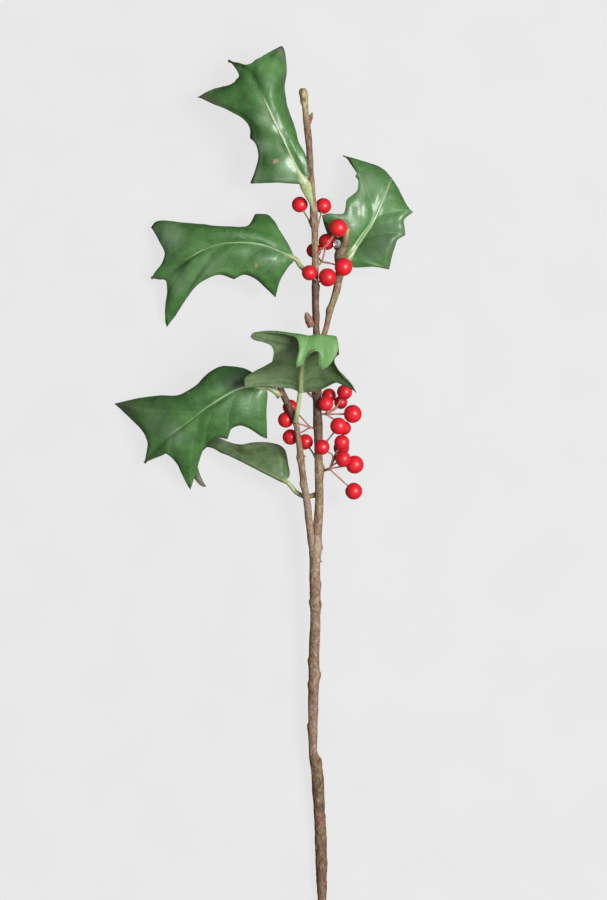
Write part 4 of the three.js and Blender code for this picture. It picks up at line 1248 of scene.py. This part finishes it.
# %% The top leaf
grow_leaf(
    "leaf_top", 60,
    stalk_radii=(0.9, 2.8, 0.45), rib_ends=0.68, puff=(0.8, 0.2), cream=1, brown_rim=1, shoulder=0.7,
    crease=(3.4, 0.7),
    blemishes=[(-18.6, 381, 1.5, 0.9), (-18.2, 372.5, 0.7, 0.5)],
    # Painted light as a pale sheen, and painted shade where the strength is below 0.
    blooms=[
        (-28, 374, 5, 0.8), (-14, 373.5, 6, 1), (-25, 388, 5, 1), (-12, 380, 3, 0.7), (-25, 401, 5, 0.6),
        (-25, 420, 8, -0.4),
    ],
    browned=[
        (-56, 413.2, 4.5, 0.9), (-50, 410.4, 3.5, 0.7), (-44, 407.6, 2.5, 0.5), (-14, 437.5, 4, 0.8),
        (-12.6, 431, 3, 0.8), (-13.4, 423, 2.6, 0.6), (-41, 430, 3.5, 0.6),
    ],
    stalk=[(0, 356.6, 26.8), (-0.8, 360.4, 28.8), (-2.3, 364.8, 31)],
    midrib=[
        (-4.1, 369.7, 33), (-11.2, 384, 36.5), (-19.6, 402.2, 38), (-26.5, 415.6, 36), (-31.5, 425, 31),
        (-42.3, 432, 20),
    ],
    left=[
        (0.12, 6, [(-23.4, 371.2, 25)], (-31.6, 370.8, 21)),
        (0.33, 4, [(-29, 377.8, 25), (-27.6, 384.2, 26), (-29, 390.1, 27)], (-31.8, 393, 26)),
        (0.58, 3.5, [(-31.8, 397.6, 28), (-35.2, 403.1, 28), (-43.1, 407.9, 25), (-51.3, 411.5, 20)],
            (-58.4, 414.4, 15)),
        (1, 0, [(-51.4, 417, 18), (-43.8, 417.8, 21.5), (-38.7, 418.8, 25), (-36.6, 420.4, 26.5),
            (-37.2, 424.8, 25.5), (-40, 429.4, 22.4)], None),
    ],
    right=[
        (0.08, 1.5, [(-2.8, 371.8, 32.4)], (-0.6, 373.3, 31.4)),
        (0.45, 7, [(-3.1, 383.5, 31), (-7.2, 390, 29), (-11.2, 399.7, 22)], (-13, 404.4, 18)),
        (0.68, 5, [(-14.7, 412.6, 17), (-14.8, 419.5, 20), (-13.1, 427.8, 23), (-13.3, 433.5, 23),
            (-14, 437.4, 23), (-14.6, 438.8, 23)], (-15.6, 439.5, 23)),
        (1, 1, [(-16.7, 439.1, 23.2), (-18.2, 438.2, 23.6), (-21.5, 435.2, 26), (-24.6, 432.2, 28),
            (-28.3, 429.2, 29), (-30.9, 427.4, 29), (-35.6, 429.6, 25), (-40, 431.2, 22)], None),
    ],
)

# %% [markdown]
# The right leaf grows on the upper twig. Its midrib is stout with a groove along it. Its far end bends down and
# back under the blade, so its point is hidden below.

# %% The right leaf
grow_leaf(
    "leaf_right", 70,
    stalk_radii=(0.9, 1.3, 0.9), rib=0.6, rib_top=0.8, rib_ends=0.8, groove=0.75, puff=(0.5, 0), valley=1.2,
    shoulder=0.12,
    blemishes=[(23, 375.5, 0.6, 0.6)],
    # Painted light as a pale sheen, and painted shade where the strength is below 0.
    blooms=[(22, 353, 5, 0.4), (27, 370, 7, 0.7), (30, 337, 8, -0.8), (38, 346, 7, -0.6)],
    browned=[(37, 328, 2.5, 0.5)],
    stalk=[(12.2, 318, 21.8), (14.9, 325.6, 19)],
    midrib=[
        (17.6, 333.6, 16.6), (23.5, 342.6, 17.4), (29.1, 350.6, 18.4), (33.5, 360.1, 17.8), (37.7, 369.2, 14.8),
        (39.8, 374.4, 11), (37.5, 369.5, 4.5), (32.5, 362.5, 1.5),
    ],
    left=[
        (0.06, 1, [(12.5, 336, 15.3), (7.8, 344.6, 15.4), (5.6, 350, 18.8)], (4.4, 354.7, 22)),
        (0.46, 1, [(7.9, 355.6, 22.8), (12.3, 355.3, 22.4), (15.4, 355.8, 22), (16.4, 358.7, 21.8),
            (17, 362.5, 21.3), (19.8, 365, 20.6), (22.3, 367.4, 19.6), (23.1, 371.3, 18.2), (23.1, 374.5, 17),
            (21.7, 375, 16), (22.6, 376.4, 15.5), (21.4, 379.1, 13.5), (20, 382.2, 11.5), (18.3, 384.6, 9.5)],
            (15.4, 385.9, 8)),
        (0.8, 2.5, [(25, 383, 6)], (30, 378.5, 0.8)),
        (1, 2, [(30, 370, 1.6)], None),
    ],
    right=[
        (0.08, 3, [(19.9, 329.3, 15.6), (24.2, 329, 16), (30.6, 329.2, 16.4)], (38.3, 327.9, 14)),
        (0.28, 1, [(40, 335.5, 16.6), (41.3, 339.6, 17.6), (42.5, 342.7, 17.6)], (46.4, 345.2, 16)),
        (0.46, 0.5, [(46, 349, 17), (45.8, 352.8, 16.5)], (50.4, 357, 14)),
        (0.75, 0.5, [(48.2, 359, 10)], (45.4, 361.4, 4.5)),
        (1, 2, [(39, 364, 1.5)], None),
    ],
)

# %% [markdown]
# The upper left leaf is the most open one. Its blade arches over to the left and comes down to the table at its
# lower spine.

# %% The upper left leaf
grow_leaf(
    "leaf_upper_left", 80,
    stalk_radii=(1.2, 1.2, 1.0), cream=0.35, shoulder=0.35,
    blemishes=[(-28.5, 329.5, 1.2, 0.6)],
    # Painted light as a pale sheen, and painted shade where the strength is below 0.
    blooms=[(-66, 322, 7, 0.5), (-72, 344, 8, 0.8), (-51, 329, 8, 0.5), (-25, 337, 7, -0.5)],
    browned=[(-81, 351.5, 3, 0.5)],
    stalk=[(0.2, 325.6, 23.6), (-3.6, 327, 23.4), (-6.5, 329.6, 24)],
    midrib=[
        (-8.8, 332.8, 25.6), (-24.5, 340, 26.2), (-42, 341, 25.6), (-56.5, 336.8, 22), (-68, 329.5, 15),
        (-81.3, 323.9, 8),
    ],
    left=[
        (0.06, 4, [(-12.1, 329.6, 22), (-15.3, 325, 19), (-17.5, 320.8, 16.5)], (-18.9, 314, 14)),
        (0.3, 3, [(-24, 318.5, 18), (-29, 322.8, 20.5), (-34.6, 324.8, 21.5)], (-39.5, 322.6, 20)),
        (0.58, 5, [(-47.1, 324.9, 19.5), (-54.7, 322, 17.5), (-59.1, 318.9, 15), (-63, 314.5, 12),
            (-66.2, 310.4, 8.5), (-69.4, 306.1, 5), (-71.7, 302.4, 2.5)], (-73.7, 299.2, 0.4)),
        (1, 1, [(-74.7, 302.4, 2), (-74.3, 306.8, 3.5), (-73.2, 313, 5.5), (-72.5, 318, 7), (-72.6, 321.1, 8),
            (-73.7, 322.8, 8.5), (-77.5, 322.9, 8.5)], None),
    ],
    right=[
        (0.1, 4, [(-12.7, 340.5, 22), (-17.8, 348.9, 18), (-20.9, 354, 15.5), (-22.5, 355.5, 14.5),
            (-25.9, 356.1, 13)], (-29.1, 356.2, 12)),
        (0.62, 5, [(-32.8, 350.1, 18), (-37.8, 348.9, 19), (-50.3, 349.2, 17), (-56.6, 350.3, 14),
            (-65.5, 351.6, 11), (-71.9, 352.6, 8), (-77, 353.2, 6), (-79.8, 352.3, 5)], (-81.9, 349.6, 4)),
        (1, 1, [(-78.7, 345.4, 6), (-75.7, 340.9, 8.5), (-74.6, 336.8, 10), (-76.4, 331.1, 9), (-79.1, 327.7, 8)],
            None),
    ],
)

# %% [markdown]
# The front leaf stands up on a stout stalk and shows its under face. Its tip folds forward over itself as a small
# flap, and there its fresh upper face shows, so the leaf is young from the fold on.

# %% The front leaf
grow_leaf(
    "leaf_front", 90,
    stalk_radii=(1.2, 1.15, 1.0), rib=0.9, rib_top=0.3, rib_ends=0.6, puff=(0, 0), young_from=0.6, cream=0.5,
    brown_rim=0.2, valley=0.5,
    # Painted light as a pale sheen, and painted shade where the strength is below 0.
    blooms=[(8, 273, 7, -0.5), (-24, 274, 6, -0.3), (-13, 288, 5, 0.5)],
    browned=[(13, 285, 1.6, 0.8), (20.5, 266.5, 3, 0.4)],
    stalk=[(-8.7, 251.6, 28), (-8, 256, 30), (-7.2, 260.6, 31.2)],
    midrib=[
        (-6.5, 266.2, 33), (-5.8, 278, 40.5), (-3.4, 287, 50), (-1.5, 291.5, 54), (-0.5, 294, 57.5),
        (2.2, 294.2, 60), (3.8, 289, 61.8), (5.2, 283.5, 62.2), (4.8, 279.5, 62.3), (3.9, 276.7, 62.3),
    ],
    left=[
        (0.2, 7, [(-4.8, 266.1, 33), (-1.3, 266.2, 34), (3.2, 267.1, 35.5), (6.8, 268.6, 36.8),
            (9.9, 270.2, 38), (12.6, 270.8, 39), (16.7, 269.2, 40)], (21.9, 265.6, 41)),
        (0.4, 3, [(19.4, 270.3, 41), (14.9, 274.8, 42), (12.2, 278.4, 44), (10.8, 281.5, 46), (11.4, 283.5, 48)],
            (13.1, 284.9, 50.4)),
        (0.66, 0, [(12.4, 290.7, 56)], (11.6, 293.5, 59.2)),
        (1, 0, [(12.4, 290, 61.2), (12, 285.6, 62.2), (10.7, 282.9, 62.5), (8.4, 279.7, 62.6),
            (5.9, 277.5, 62.5)], None),
    ],
    right=[
        (0.16, 6, [(-7.7, 266.6, 33), (-10.4, 267.9, 34), (-14.9, 268.2, 36), (-19.4, 268.4, 38),
            (-28.4, 268.5, 42)], (-33.5, 268.2, 44.5)),
        (0.5, 4, [(-34.3, 270.2, 45), (-33.8, 273.4, 45.5), (-30.6, 275.6, 46), (-25.6, 277.9, 47),
            (-21.1, 280.5, 48.5), (-20, 283.6, 50), (-19.8, 286.3, 52), (-21.1, 288.9, 54), (-24.7, 290.4, 56),
            (-29.3, 291.6, 58)], (-31.1, 293.3, 59)),
        (0.7, 0, [(-29.8, 295.2, 59), (-26.2, 295.8, 59), (-22, 295.8, 59), (-16.6, 295.3, 59),
            (-12.1, 294.3, 60), (-8.5, 293, 61.5), (-7.2, 290.5, 62.6), (-6.9, 286.9, 63.2),
            (-7.8, 283.3, 63.6), (-8.5, 279.8, 63.8)], (-8.3, 277.8, 63.8)),
        (1, 0, [(-6, 279, 63.8), (-4.2, 281.7, 63.6), (-2.5, 284.6, 63.3), (-0.7, 286.3, 62.9),
            (0.8, 286.7, 62.6), (2, 285.8, 62.5), (2.6, 283.3, 62.4), (2.5, 279.7, 62.3)], None),
    ],
)

# %% [markdown]
# The lower left leaf ends the side branch. It is the longest, and it bends down to the left until its points
# nearly touch the table. A pale sheen is painted on its far end, and shade is painted on its right half.

# %% The lower left leaf
grow_leaf(
    "leaf_lower_left", 100,
    stalk_radii=(1.5, 1.5, 0.8), cream=0.5, brown_rim=0.6, shoulder=0.4,
    blemishes=[(-62, 266, 0.8, 0.7)],
    # Painted light as a pale sheen, and painted shade where the strength is below 0.
    blooms=[(-68, 245, 6, 0.6), (-80, 253, 10, 0.42), (-33, 257, 5, 0.3), (-42, 273, 7, -1), (-33, 272, 6, -1)],
    browned=[(-98, 261, 6, 0.9), (-91, 258.5, 5, 0.4), (-82.5, 234, 3, 0.4)],
    stalk=[(-16.4, 264.4, 29.2), (-18.4, 266.4, 29.9), (-20.7, 267.9, 30.5)],
    midrib=[
        (-23, 269, 31), (-35, 268.7, 33), (-50.4, 260.2, 31.5), (-64, 250.4, 25.5), (-75.9, 241.7, 16.5),
        (-84.7, 231.1, 6),
    ],
    left=[
        (0.05, 4, [(-22.8, 265, 28.5), (-23.4, 256.9, 25), (-23.2, 247.8, 22)], (-23, 243.1, 20)),
        (0.28, 3, [(-25.9, 244.2, 22), (-29.5, 246.5, 23), (-33.1, 248.5, 25), (-36.3, 249.4, 26),
            (-39, 248.7, 26), (-40.9, 247.4, 25), (-41.8, 245.1, 23.5)], (-42.7, 242.6, 22)),
        (0.55, 4, [(-47.7, 243.3, 22.5), (-51.9, 241.7, 20.5), (-54.7, 238.3, 16), (-56.4, 234.2, 12.5),
            (-58.1, 229.6, 8), (-59.8, 223.2, 5)], (-61.6, 217.2, 3)),
        (1, 1, [(-63.2, 219.3, 4), (-65, 224.1, 7), (-66.7, 228.7, 9), (-68.8, 232.7, 12), (-70.3, 235.1, 13),
            (-72.1, 236.2, 13.5), (-75.4, 234.6, 11), (-81, 232.5, 8)], None),
    ],
    right=[
        (0.17, 16, [(-29, 273, 26)], (-44.5, 277, 12)),
        (0.55, 5, [(-51.5, 275, 13), (-55.2, 271.2, 15), (-58.8, 267, 16), (-63.5, 264.8, 15.5),
            (-71.7, 263.4, 13), (-79.1, 263.3, 10), (-85.6, 263.2, 7), (-91.2, 262.8, 4), (-96.8, 261.9, 2)],
            (-100.5, 261, 0.4)),
        (1, 1, [(-96.8, 257.6, 2), (-92.1, 253.4, 4.5), (-87.4, 249.3, 7), (-84.1, 246.5, 9),
            (-82.5, 243.8, 9.5), (-82.7, 239.7, 8)], None),
    ],
)

# %% [markdown]
# Behind the lower left leaf hangs another one, low over the table. It turns down past its middle, so only a part
# of its blade shows, and its midrib is faint.

# %% The leaf behind it
grow_leaf(
    "leaf_lower_back", 110,
    stalk_radii=(1.2, 1.1, 1.0), rib=0.15, rib_ends=0.3, puff=(0.5, 0.5), valley=0.8, rib_tone=0.3,
    # Painted light as a pale sheen, and painted shade where the strength is below 0.
    blooms=[(-45, 241, 3, 0.8), (-24, 233, 8, -0.4)],
    browned=[(-55, 220, 3, 0.6)],
    stalk=[(2, 215.2, 15.4), (-3.6, 214.2, 14.4), (-8, 216, 15)],
    midrib=[
        (-13.2, 221.5, 16.6), (-23.2, 226.4, 17), (-32.3, 231.1, 16), (-43.2, 236.3, 13), (-53.5, 240, 8),
        (-59.8, 235, 5.2), (-59, 226, 3), (-56.2, 220.9, 2.2), (-54, 219, 2),
    ],
    left=[
        (0.1, -3, [(-11.8, 224.6, 15), (-12.5, 230.5, 13), (-14.1, 237.4, 11), (-16.4, 239.5, 10)],
            (-18.7, 240.4, 9.5)),
        (0.42, -2, [(-24.2, 241.1, 9.5), (-30.6, 240.8, 9.5), (-35.2, 239.9, 9.5), (-38.8, 240, 8),
            (-43.4, 241.3, 7)], (-47.1, 242.9, 6)),
        (0.62, -1, [(-52, 243.5, 4)], (-58, 246, 1.6)),
        (1, 0, [(-62, 236, 2), (-60.6, 225.5, 1.6), (-58.2, 221.8, 1.8), (-56.4, 219.9, 1.9)], None),
    ],
    right=[
        (0.1, -2, [(-13.5, 224, 9)], (-16, 230, 3)),
        (0.32, -2, [(-24, 231, 4)], (-32, 236, 1)),
        (0.55, -1, [(-43, 238.5, 2)], (-53.5, 240.5, 0.8)),
        (1, 0, [(-59, 233, 1.2), (-57.8, 225.6, 1.4), (-55.9, 221.8, 1.7)], None),
    ],
)

# %% [markdown]
# ## Berries
#
# A holly berry is a small ripe fruit: a thin waxy skin, bright red, slightly uneven in tint, a little dimple
# where the stalk enters and a tiny dark scar at the other end, left by the flower. The gloss is a thin clear
# coat over a softer layer. The berry stalks are thinner and duller: pink where the sun reached them, brown at
# their joints, olive near the growing tip.

# %% Mix the berry and the berry stalk
BERRY_RED = (0.64, 0.0115, 0.020)
BERRY_DEEP = (0.47, 0.005, 0.012)
BERRY_SCAR = (0.030, 0.012, 0.010)
STALK_PINK = (0.430, 0.160, 0.140)
STALK_BROWN = (0.200, 0.110, 0.065)
STALK_OLIVE = (0.230, 0.200, 0.095)
STALK_DARK = (0.030, 0.022, 0.018)

berry_finish, net = new_finish("berry", Coat_Roughness=0.25, Specular_IOR_Level=0.25)
tint = net.cloud(3.2, 2).step(0.3, 0.7)
pores = net.cells(0.55).step(0.28, 0.1)
scar = net.mark("scar")
red = layered(
    BERRY_RED,
    (tint * 0.6 + net.mark("ripe") * 0.5, BERRY_DEEP),
    (pores * 0.12, BERRY_DEEP),
    (scar, BERRY_SCAR),
)
connect(
    berry_finish,
    Base_Color=red,
    Roughness=0.34 + tint * 0.08 + scar * 0.3,
    Coat_Weight=0.42 - scar * 0.35,
    Normal=net.bump(net.cloud(0.6, 2) * 0.012 + pores * 0.006),
)

stalk_finish, net = new_finish("berry stalk", Specular_IOR_Level=0.4)
streak = net.cloud(1.4, 3).step(0.35, 0.7)
stalk_colour = layered(
    STALK_PINK,
    (streak * 0.7, STALK_BROWN),
    (net.mark("joint") * 0.8, STALK_BROWN),
    (net.mark("olive"), streak.mix(STALK_OLIVE, STALK_BROWN)),
    (net.mark("foot"), STALK_DARK),
)
connect(
    stalk_finish,
    Base_Color=stalk_colour,
    Roughness=0.45 + streak * 0.2,
    Normal=net.bump(net.cloud(0.4, 2) * 0.05),
)

# %% [markdown]
# Each fork of berry stalks leaves the wood as one stout stalk and divides into thin ones. They are listed with
# the foot on the wood, the fork, and for each berry the point its stalk passes on the way. The berries' own
# places and sizes come from the frame.

# %% Berry places and their stalks
STALKS = {
    "stalk_top_left": ((-1, 349.4, 25.6), (-2.1, 352.2, 24.9), {"berry_01": None}),
    "stalk_top_right": ((2.1, 348, 25.9), (2.9, 351.4, 25), {"berry_02": None}),
    "stalk_upper": ((2.6, 336, 26.6), (7, 339.8, 28.2), {"berry_03": None}),
    "stalks_middle": ((3.4, 330.5, 24.4), (4.4, 331.4, 24), {"berry_04": (5.4, 335, 22.6),
        "berry_05": (3.4, 332.6, 21.2), "berry_08": (8.4, 330.6, 26.6)}),
    "stalks_low": ((1.8, 321.4, 26.7), (1.9, 322, 27.2), {"berry_06": (0.6, 322.8, 27.9),
        "berry_07": (3.1, 321.4, 27.1)}),
    "stalks_right": ((4.7, 255.4, 20.4), (6.4, 255.4, 20.6), {"berry_09": (12, 259.6, 22),
        "berry_10": (7.6, 258.6, 18.6), "berry_11": (7, 256.2, 22.8), "berry_12": (10.8, 257.6, 18.4),
        "berry_13": (12.4, 255.4, 20.8), "berry_15": (10.8, 252.6, 18.4)}),
    "stalk_right": ((5.4, 240, 19.4), (7.4, 242.4, 20.6), {"berry_14": None}),
    "stalks_low_right": ((5.6, 227.4, 18.4), (8.2, 228, 18.6), {"berry_16": (10.8, 234.6, 20.2),
        "berry_17": (10.6, 232.4, 17), "berry_18": (10.6, 230.4, 20.4), "berry_19": (13, 229, 17.8),
        "berry_20": (9.8, 234.6, 22.4), "berry_21": (12.4, 224.2, 18.4)}),
    "stalks_left": ((0, 248.6, 19.8), (-1.4, 248.8, 19.8), {"berry_22": (-5.8, 253.8, 19),
        "berry_23": (-6.2, 250.4, 20.8), "berry_24": (-5.6, 246.4, 19.6)}),
    "stalk_left": ((0.9, 234.2, 18.8), (0.2, 235.6, 18.6), {"berry_25": None}),
}


def berry_place(name):
    """Middle of a berry in millimetres up the stem, and its radius."""
    middle, radius = middle_and_radius(name)
    return (middle - SHIFT) / MILLIMETRE, radius / MILLIMETRE


way_to = {
    berry: np.array(by or fork) for _, fork, berries in STALKS.values() for berry, by in berries.items()
}
widths = [2 * berry_place(name)[1] for name in way_to]
print(f"{len(way_to)} berries, {min(widths):.1f} to {max(widths):.1f} mm across")

# %% [markdown]
# A berry is a ball turned about the line of its stalk. Its radius is a function of the angle from the stalk and
# the angle round it: a dimple at the stalk, a small nipple at the flower's scar, and a slight unevenness, since
# no two are alike.

# %% Grow the berries
BERRY_ROWS, BERRY_SIDES = 40, 52
POLE = 0.02
DIMPLE_DEEP, DIMPLE_WIDE = 0.10, 0.3
HOLLOW_DEEP, HOLLOW_WIDE = 0.035, 0.25
NIPPLE_HIGH, NIPPLE_WIDE = 0.05, 0.085
RIPENESS_STEP = 0.618


def berry(name, seed):
    """The closed skin of a berry: radius x (1 - dimple - hollow + nipple + lumps), round the line of its stalk."""
    middle, radius = berry_place(name)
    axis = unit(middle - way_to[name])
    side = unit(np.cross(axis, np.eye(3)[np.argmin(np.abs(axis))]))
    top = np.cross(axis, side)
    polar = np.linspace(POLE, math.pi - POLE, BERRY_ROWS)[:, None]
    angles = np.linspace(0, 2 * math.pi, BERRY_SIDES, endpoint=False)
    way = (
        -np.cos(polar)[..., None] * axis
        + (np.sin(polar) * np.cos(angles))[..., None] * side
        + (np.sin(polar) * np.sin(angles))[..., None] * top
    )
    dimple = DIMPLE_DEEP * np.exp(-((polar / DIMPLE_WIDE) ** 2))
    hollow = HOLLOW_DEEP * np.exp(-(((math.pi - polar) / HOLLOW_WIDE) ** 2))
    nipple = np.exp(-(((math.pi - polar) / NIPPLE_WIDE) ** 2))
    uneven = 0.02 * lumps(way, 1.1, seed) + 0.006 * lumps(way, 0.3, seed + 0.4)
    shape = 1 - dimple - hollow + NIPPLE_HIGH * nipple + uneven
    marks = {"scar": fade(nipple, 0.25, 0.8), "ripe": (seed * RIPENESS_STEP) % 1}
    return skin(middle + radius * shape[..., None] * way, marks)


for seed, name in enumerate(sorted(way_to)):
    piece(f"ripe_{name}", [berry(name, seed)], berry_finish, "berry", name)

# %% [markdown]
# A berry stalk swells where it leaves its fork and again into a small cup under its berry. The rings are
# circles whose radius rises at both ends.

# %% Grow the berry stalks
STALK_RADIUS = 0.42
FOOT_RADIUS, DARK_FOOT_RADIUS = 1.25 * STALK_RADIUS, 1.6 * STALK_RADIUS
OLIVE_STALKS = ("stalk_top_left", "stalk_top_right")
DARK_FOOTED_STALK = "stalks_low_right"
RING_STEP, FEWEST_RINGS, STALK_SIDES = 0.25, 12, 16
SWELL_HIGH, SWELL_LONG = 0.5, 0.7
CUP_HIGH, CUP_LONG = 0.9, 0.55
NO_CUP = 0.15
INTO_THE_WOOD, INTO_THE_BERRY = 0.8, 0.86


def berry_stalk(points, radius, seed, cup, **marks):
    """A thin tube along points: radius x (1 + swelling at the start + cup at the end + lumps)."""
    path = curve(points)
    length = length_along(path)[-1]
    shares = np.linspace(0, 1, max(FEWEST_RINGS, int(length / RING_STEP)))
    centre = at_shares(path, shares)
    _, side, top = directions(centre, steady_up(path))
    angles = np.linspace(0, 2 * math.pi, STALK_SIDES, endpoint=False)
    along, left = (length * shares)[:, None], (length * (1 - shares))[:, None]
    swell = SWELL_HIGH * np.exp(-along / SWELL_LONG) + cup * np.exp(-((left / CUP_LONG) ** 2))
    where = centre[:, None] + 0.4 * np.stack([np.cos(angles), np.sin(angles), 0 * angles], -1)
    ends = np.maximum(dome(shares, 0.06)[:, None], 0.12)
    radii = radius * (1 + swell + 0.16 * lumps(where, 0.9, seed)) * ends
    joint = np.maximum(fade(along, 1.6, 0.4), cup * fade(left, 0.7, 0.3))
    return skin(rings_round(centre, radii, side, top, angles), {"joint": joint, **marks})


for seed, (name, (foot, fork, berries)) in enumerate(STALKS.items()):
    foot, fork = np.array(foot, float), np.array(fork, float)
    root = foot - INTO_THE_WOOD * unit(fork - foot)
    olive = 0.9 if name in OLIVE_STALKS else 0.25
    dark, thick = (0.9, DARK_FOOT_RADIUS) if name == DARK_FOOTED_STALK else (0, FOOT_RADIUS)
    skins = [berry_stalk([root, (foot + fork) / 2, fork], thick, seed, NO_CUP, olive=olive, foot=dark)]
    for number, (name_of_berry, by) in enumerate(berries.items()):
        middle, radius = berry_place(name_of_berry)
        way = way_to[name_of_berry]
        route = [fork if by else (foot + fork) / 2, way, middle + INTO_THE_BERRY * radius * unit(way - middle)]
        skins.append(berry_stalk(route, STALK_RADIUS, seed + number + 0.3, CUP_HIGH, olive=olive, foot=0))
    piece(f"berry_{name}", skins, stalk_finish, "berry_stalk", name)

# %% [markdown]
# ## A drop of resin
#
# A drop of resin hangs on the upper twig, clear at first and silvery where it has begun to harden. It is a
# slightly flattened ball. The shader lets part of the light through, and a faint roughness in clouds keeps the
# drop natural.

# %% The drop
RESIN_CLEAR, RESIN_SILVER = (0.70, 0.71, 0.73), (0.42, 0.43, 0.46)
DROP_ROWS, DROP_SIDES = 36, 48
DROP_FLAT = 0.9

resin_finish, net = new_finish("resin", Transmission_Weight=0.8, IOR=1.48)
connect(
    resin_finish,
    Base_Color=net.cloud(1.2, 2).mix(RESIN_CLEAR, RESIN_SILVER),
    Roughness=0.08 + net.cloud(0.8, 2).step(0.45, 0.8) * 0.1,
    Normal=net.bump(net.cloud(0.9, 1) * 0.05),
)


def drop(middle, radius):
    """The closed skin of the drop: a ball, pressed flatter along z, x (1 + lumps)."""
    polar = np.linspace(0.03, math.pi - 0.03, DROP_ROWS)[:, None]
    angles = np.linspace(0, 2 * math.pi, DROP_SIDES, endpoint=False)
    up = DROP_FLAT * np.cos(polar) * np.ones(angles.shape)
    way = np.stack([np.sin(polar) * np.cos(angles), np.sin(polar) * np.sin(angles), up], -1)
    return skin(middle + radius * way * (1 + 0.05 * lumps(way, 0.8, 3))[..., None])


bead_radius = middle_and_radius("resin_bead")[1] / MILLIMETRE
piece("resin_drop", [drop(RESIN_AT, bead_radius)], resin_finish, "resin", "resin_bead")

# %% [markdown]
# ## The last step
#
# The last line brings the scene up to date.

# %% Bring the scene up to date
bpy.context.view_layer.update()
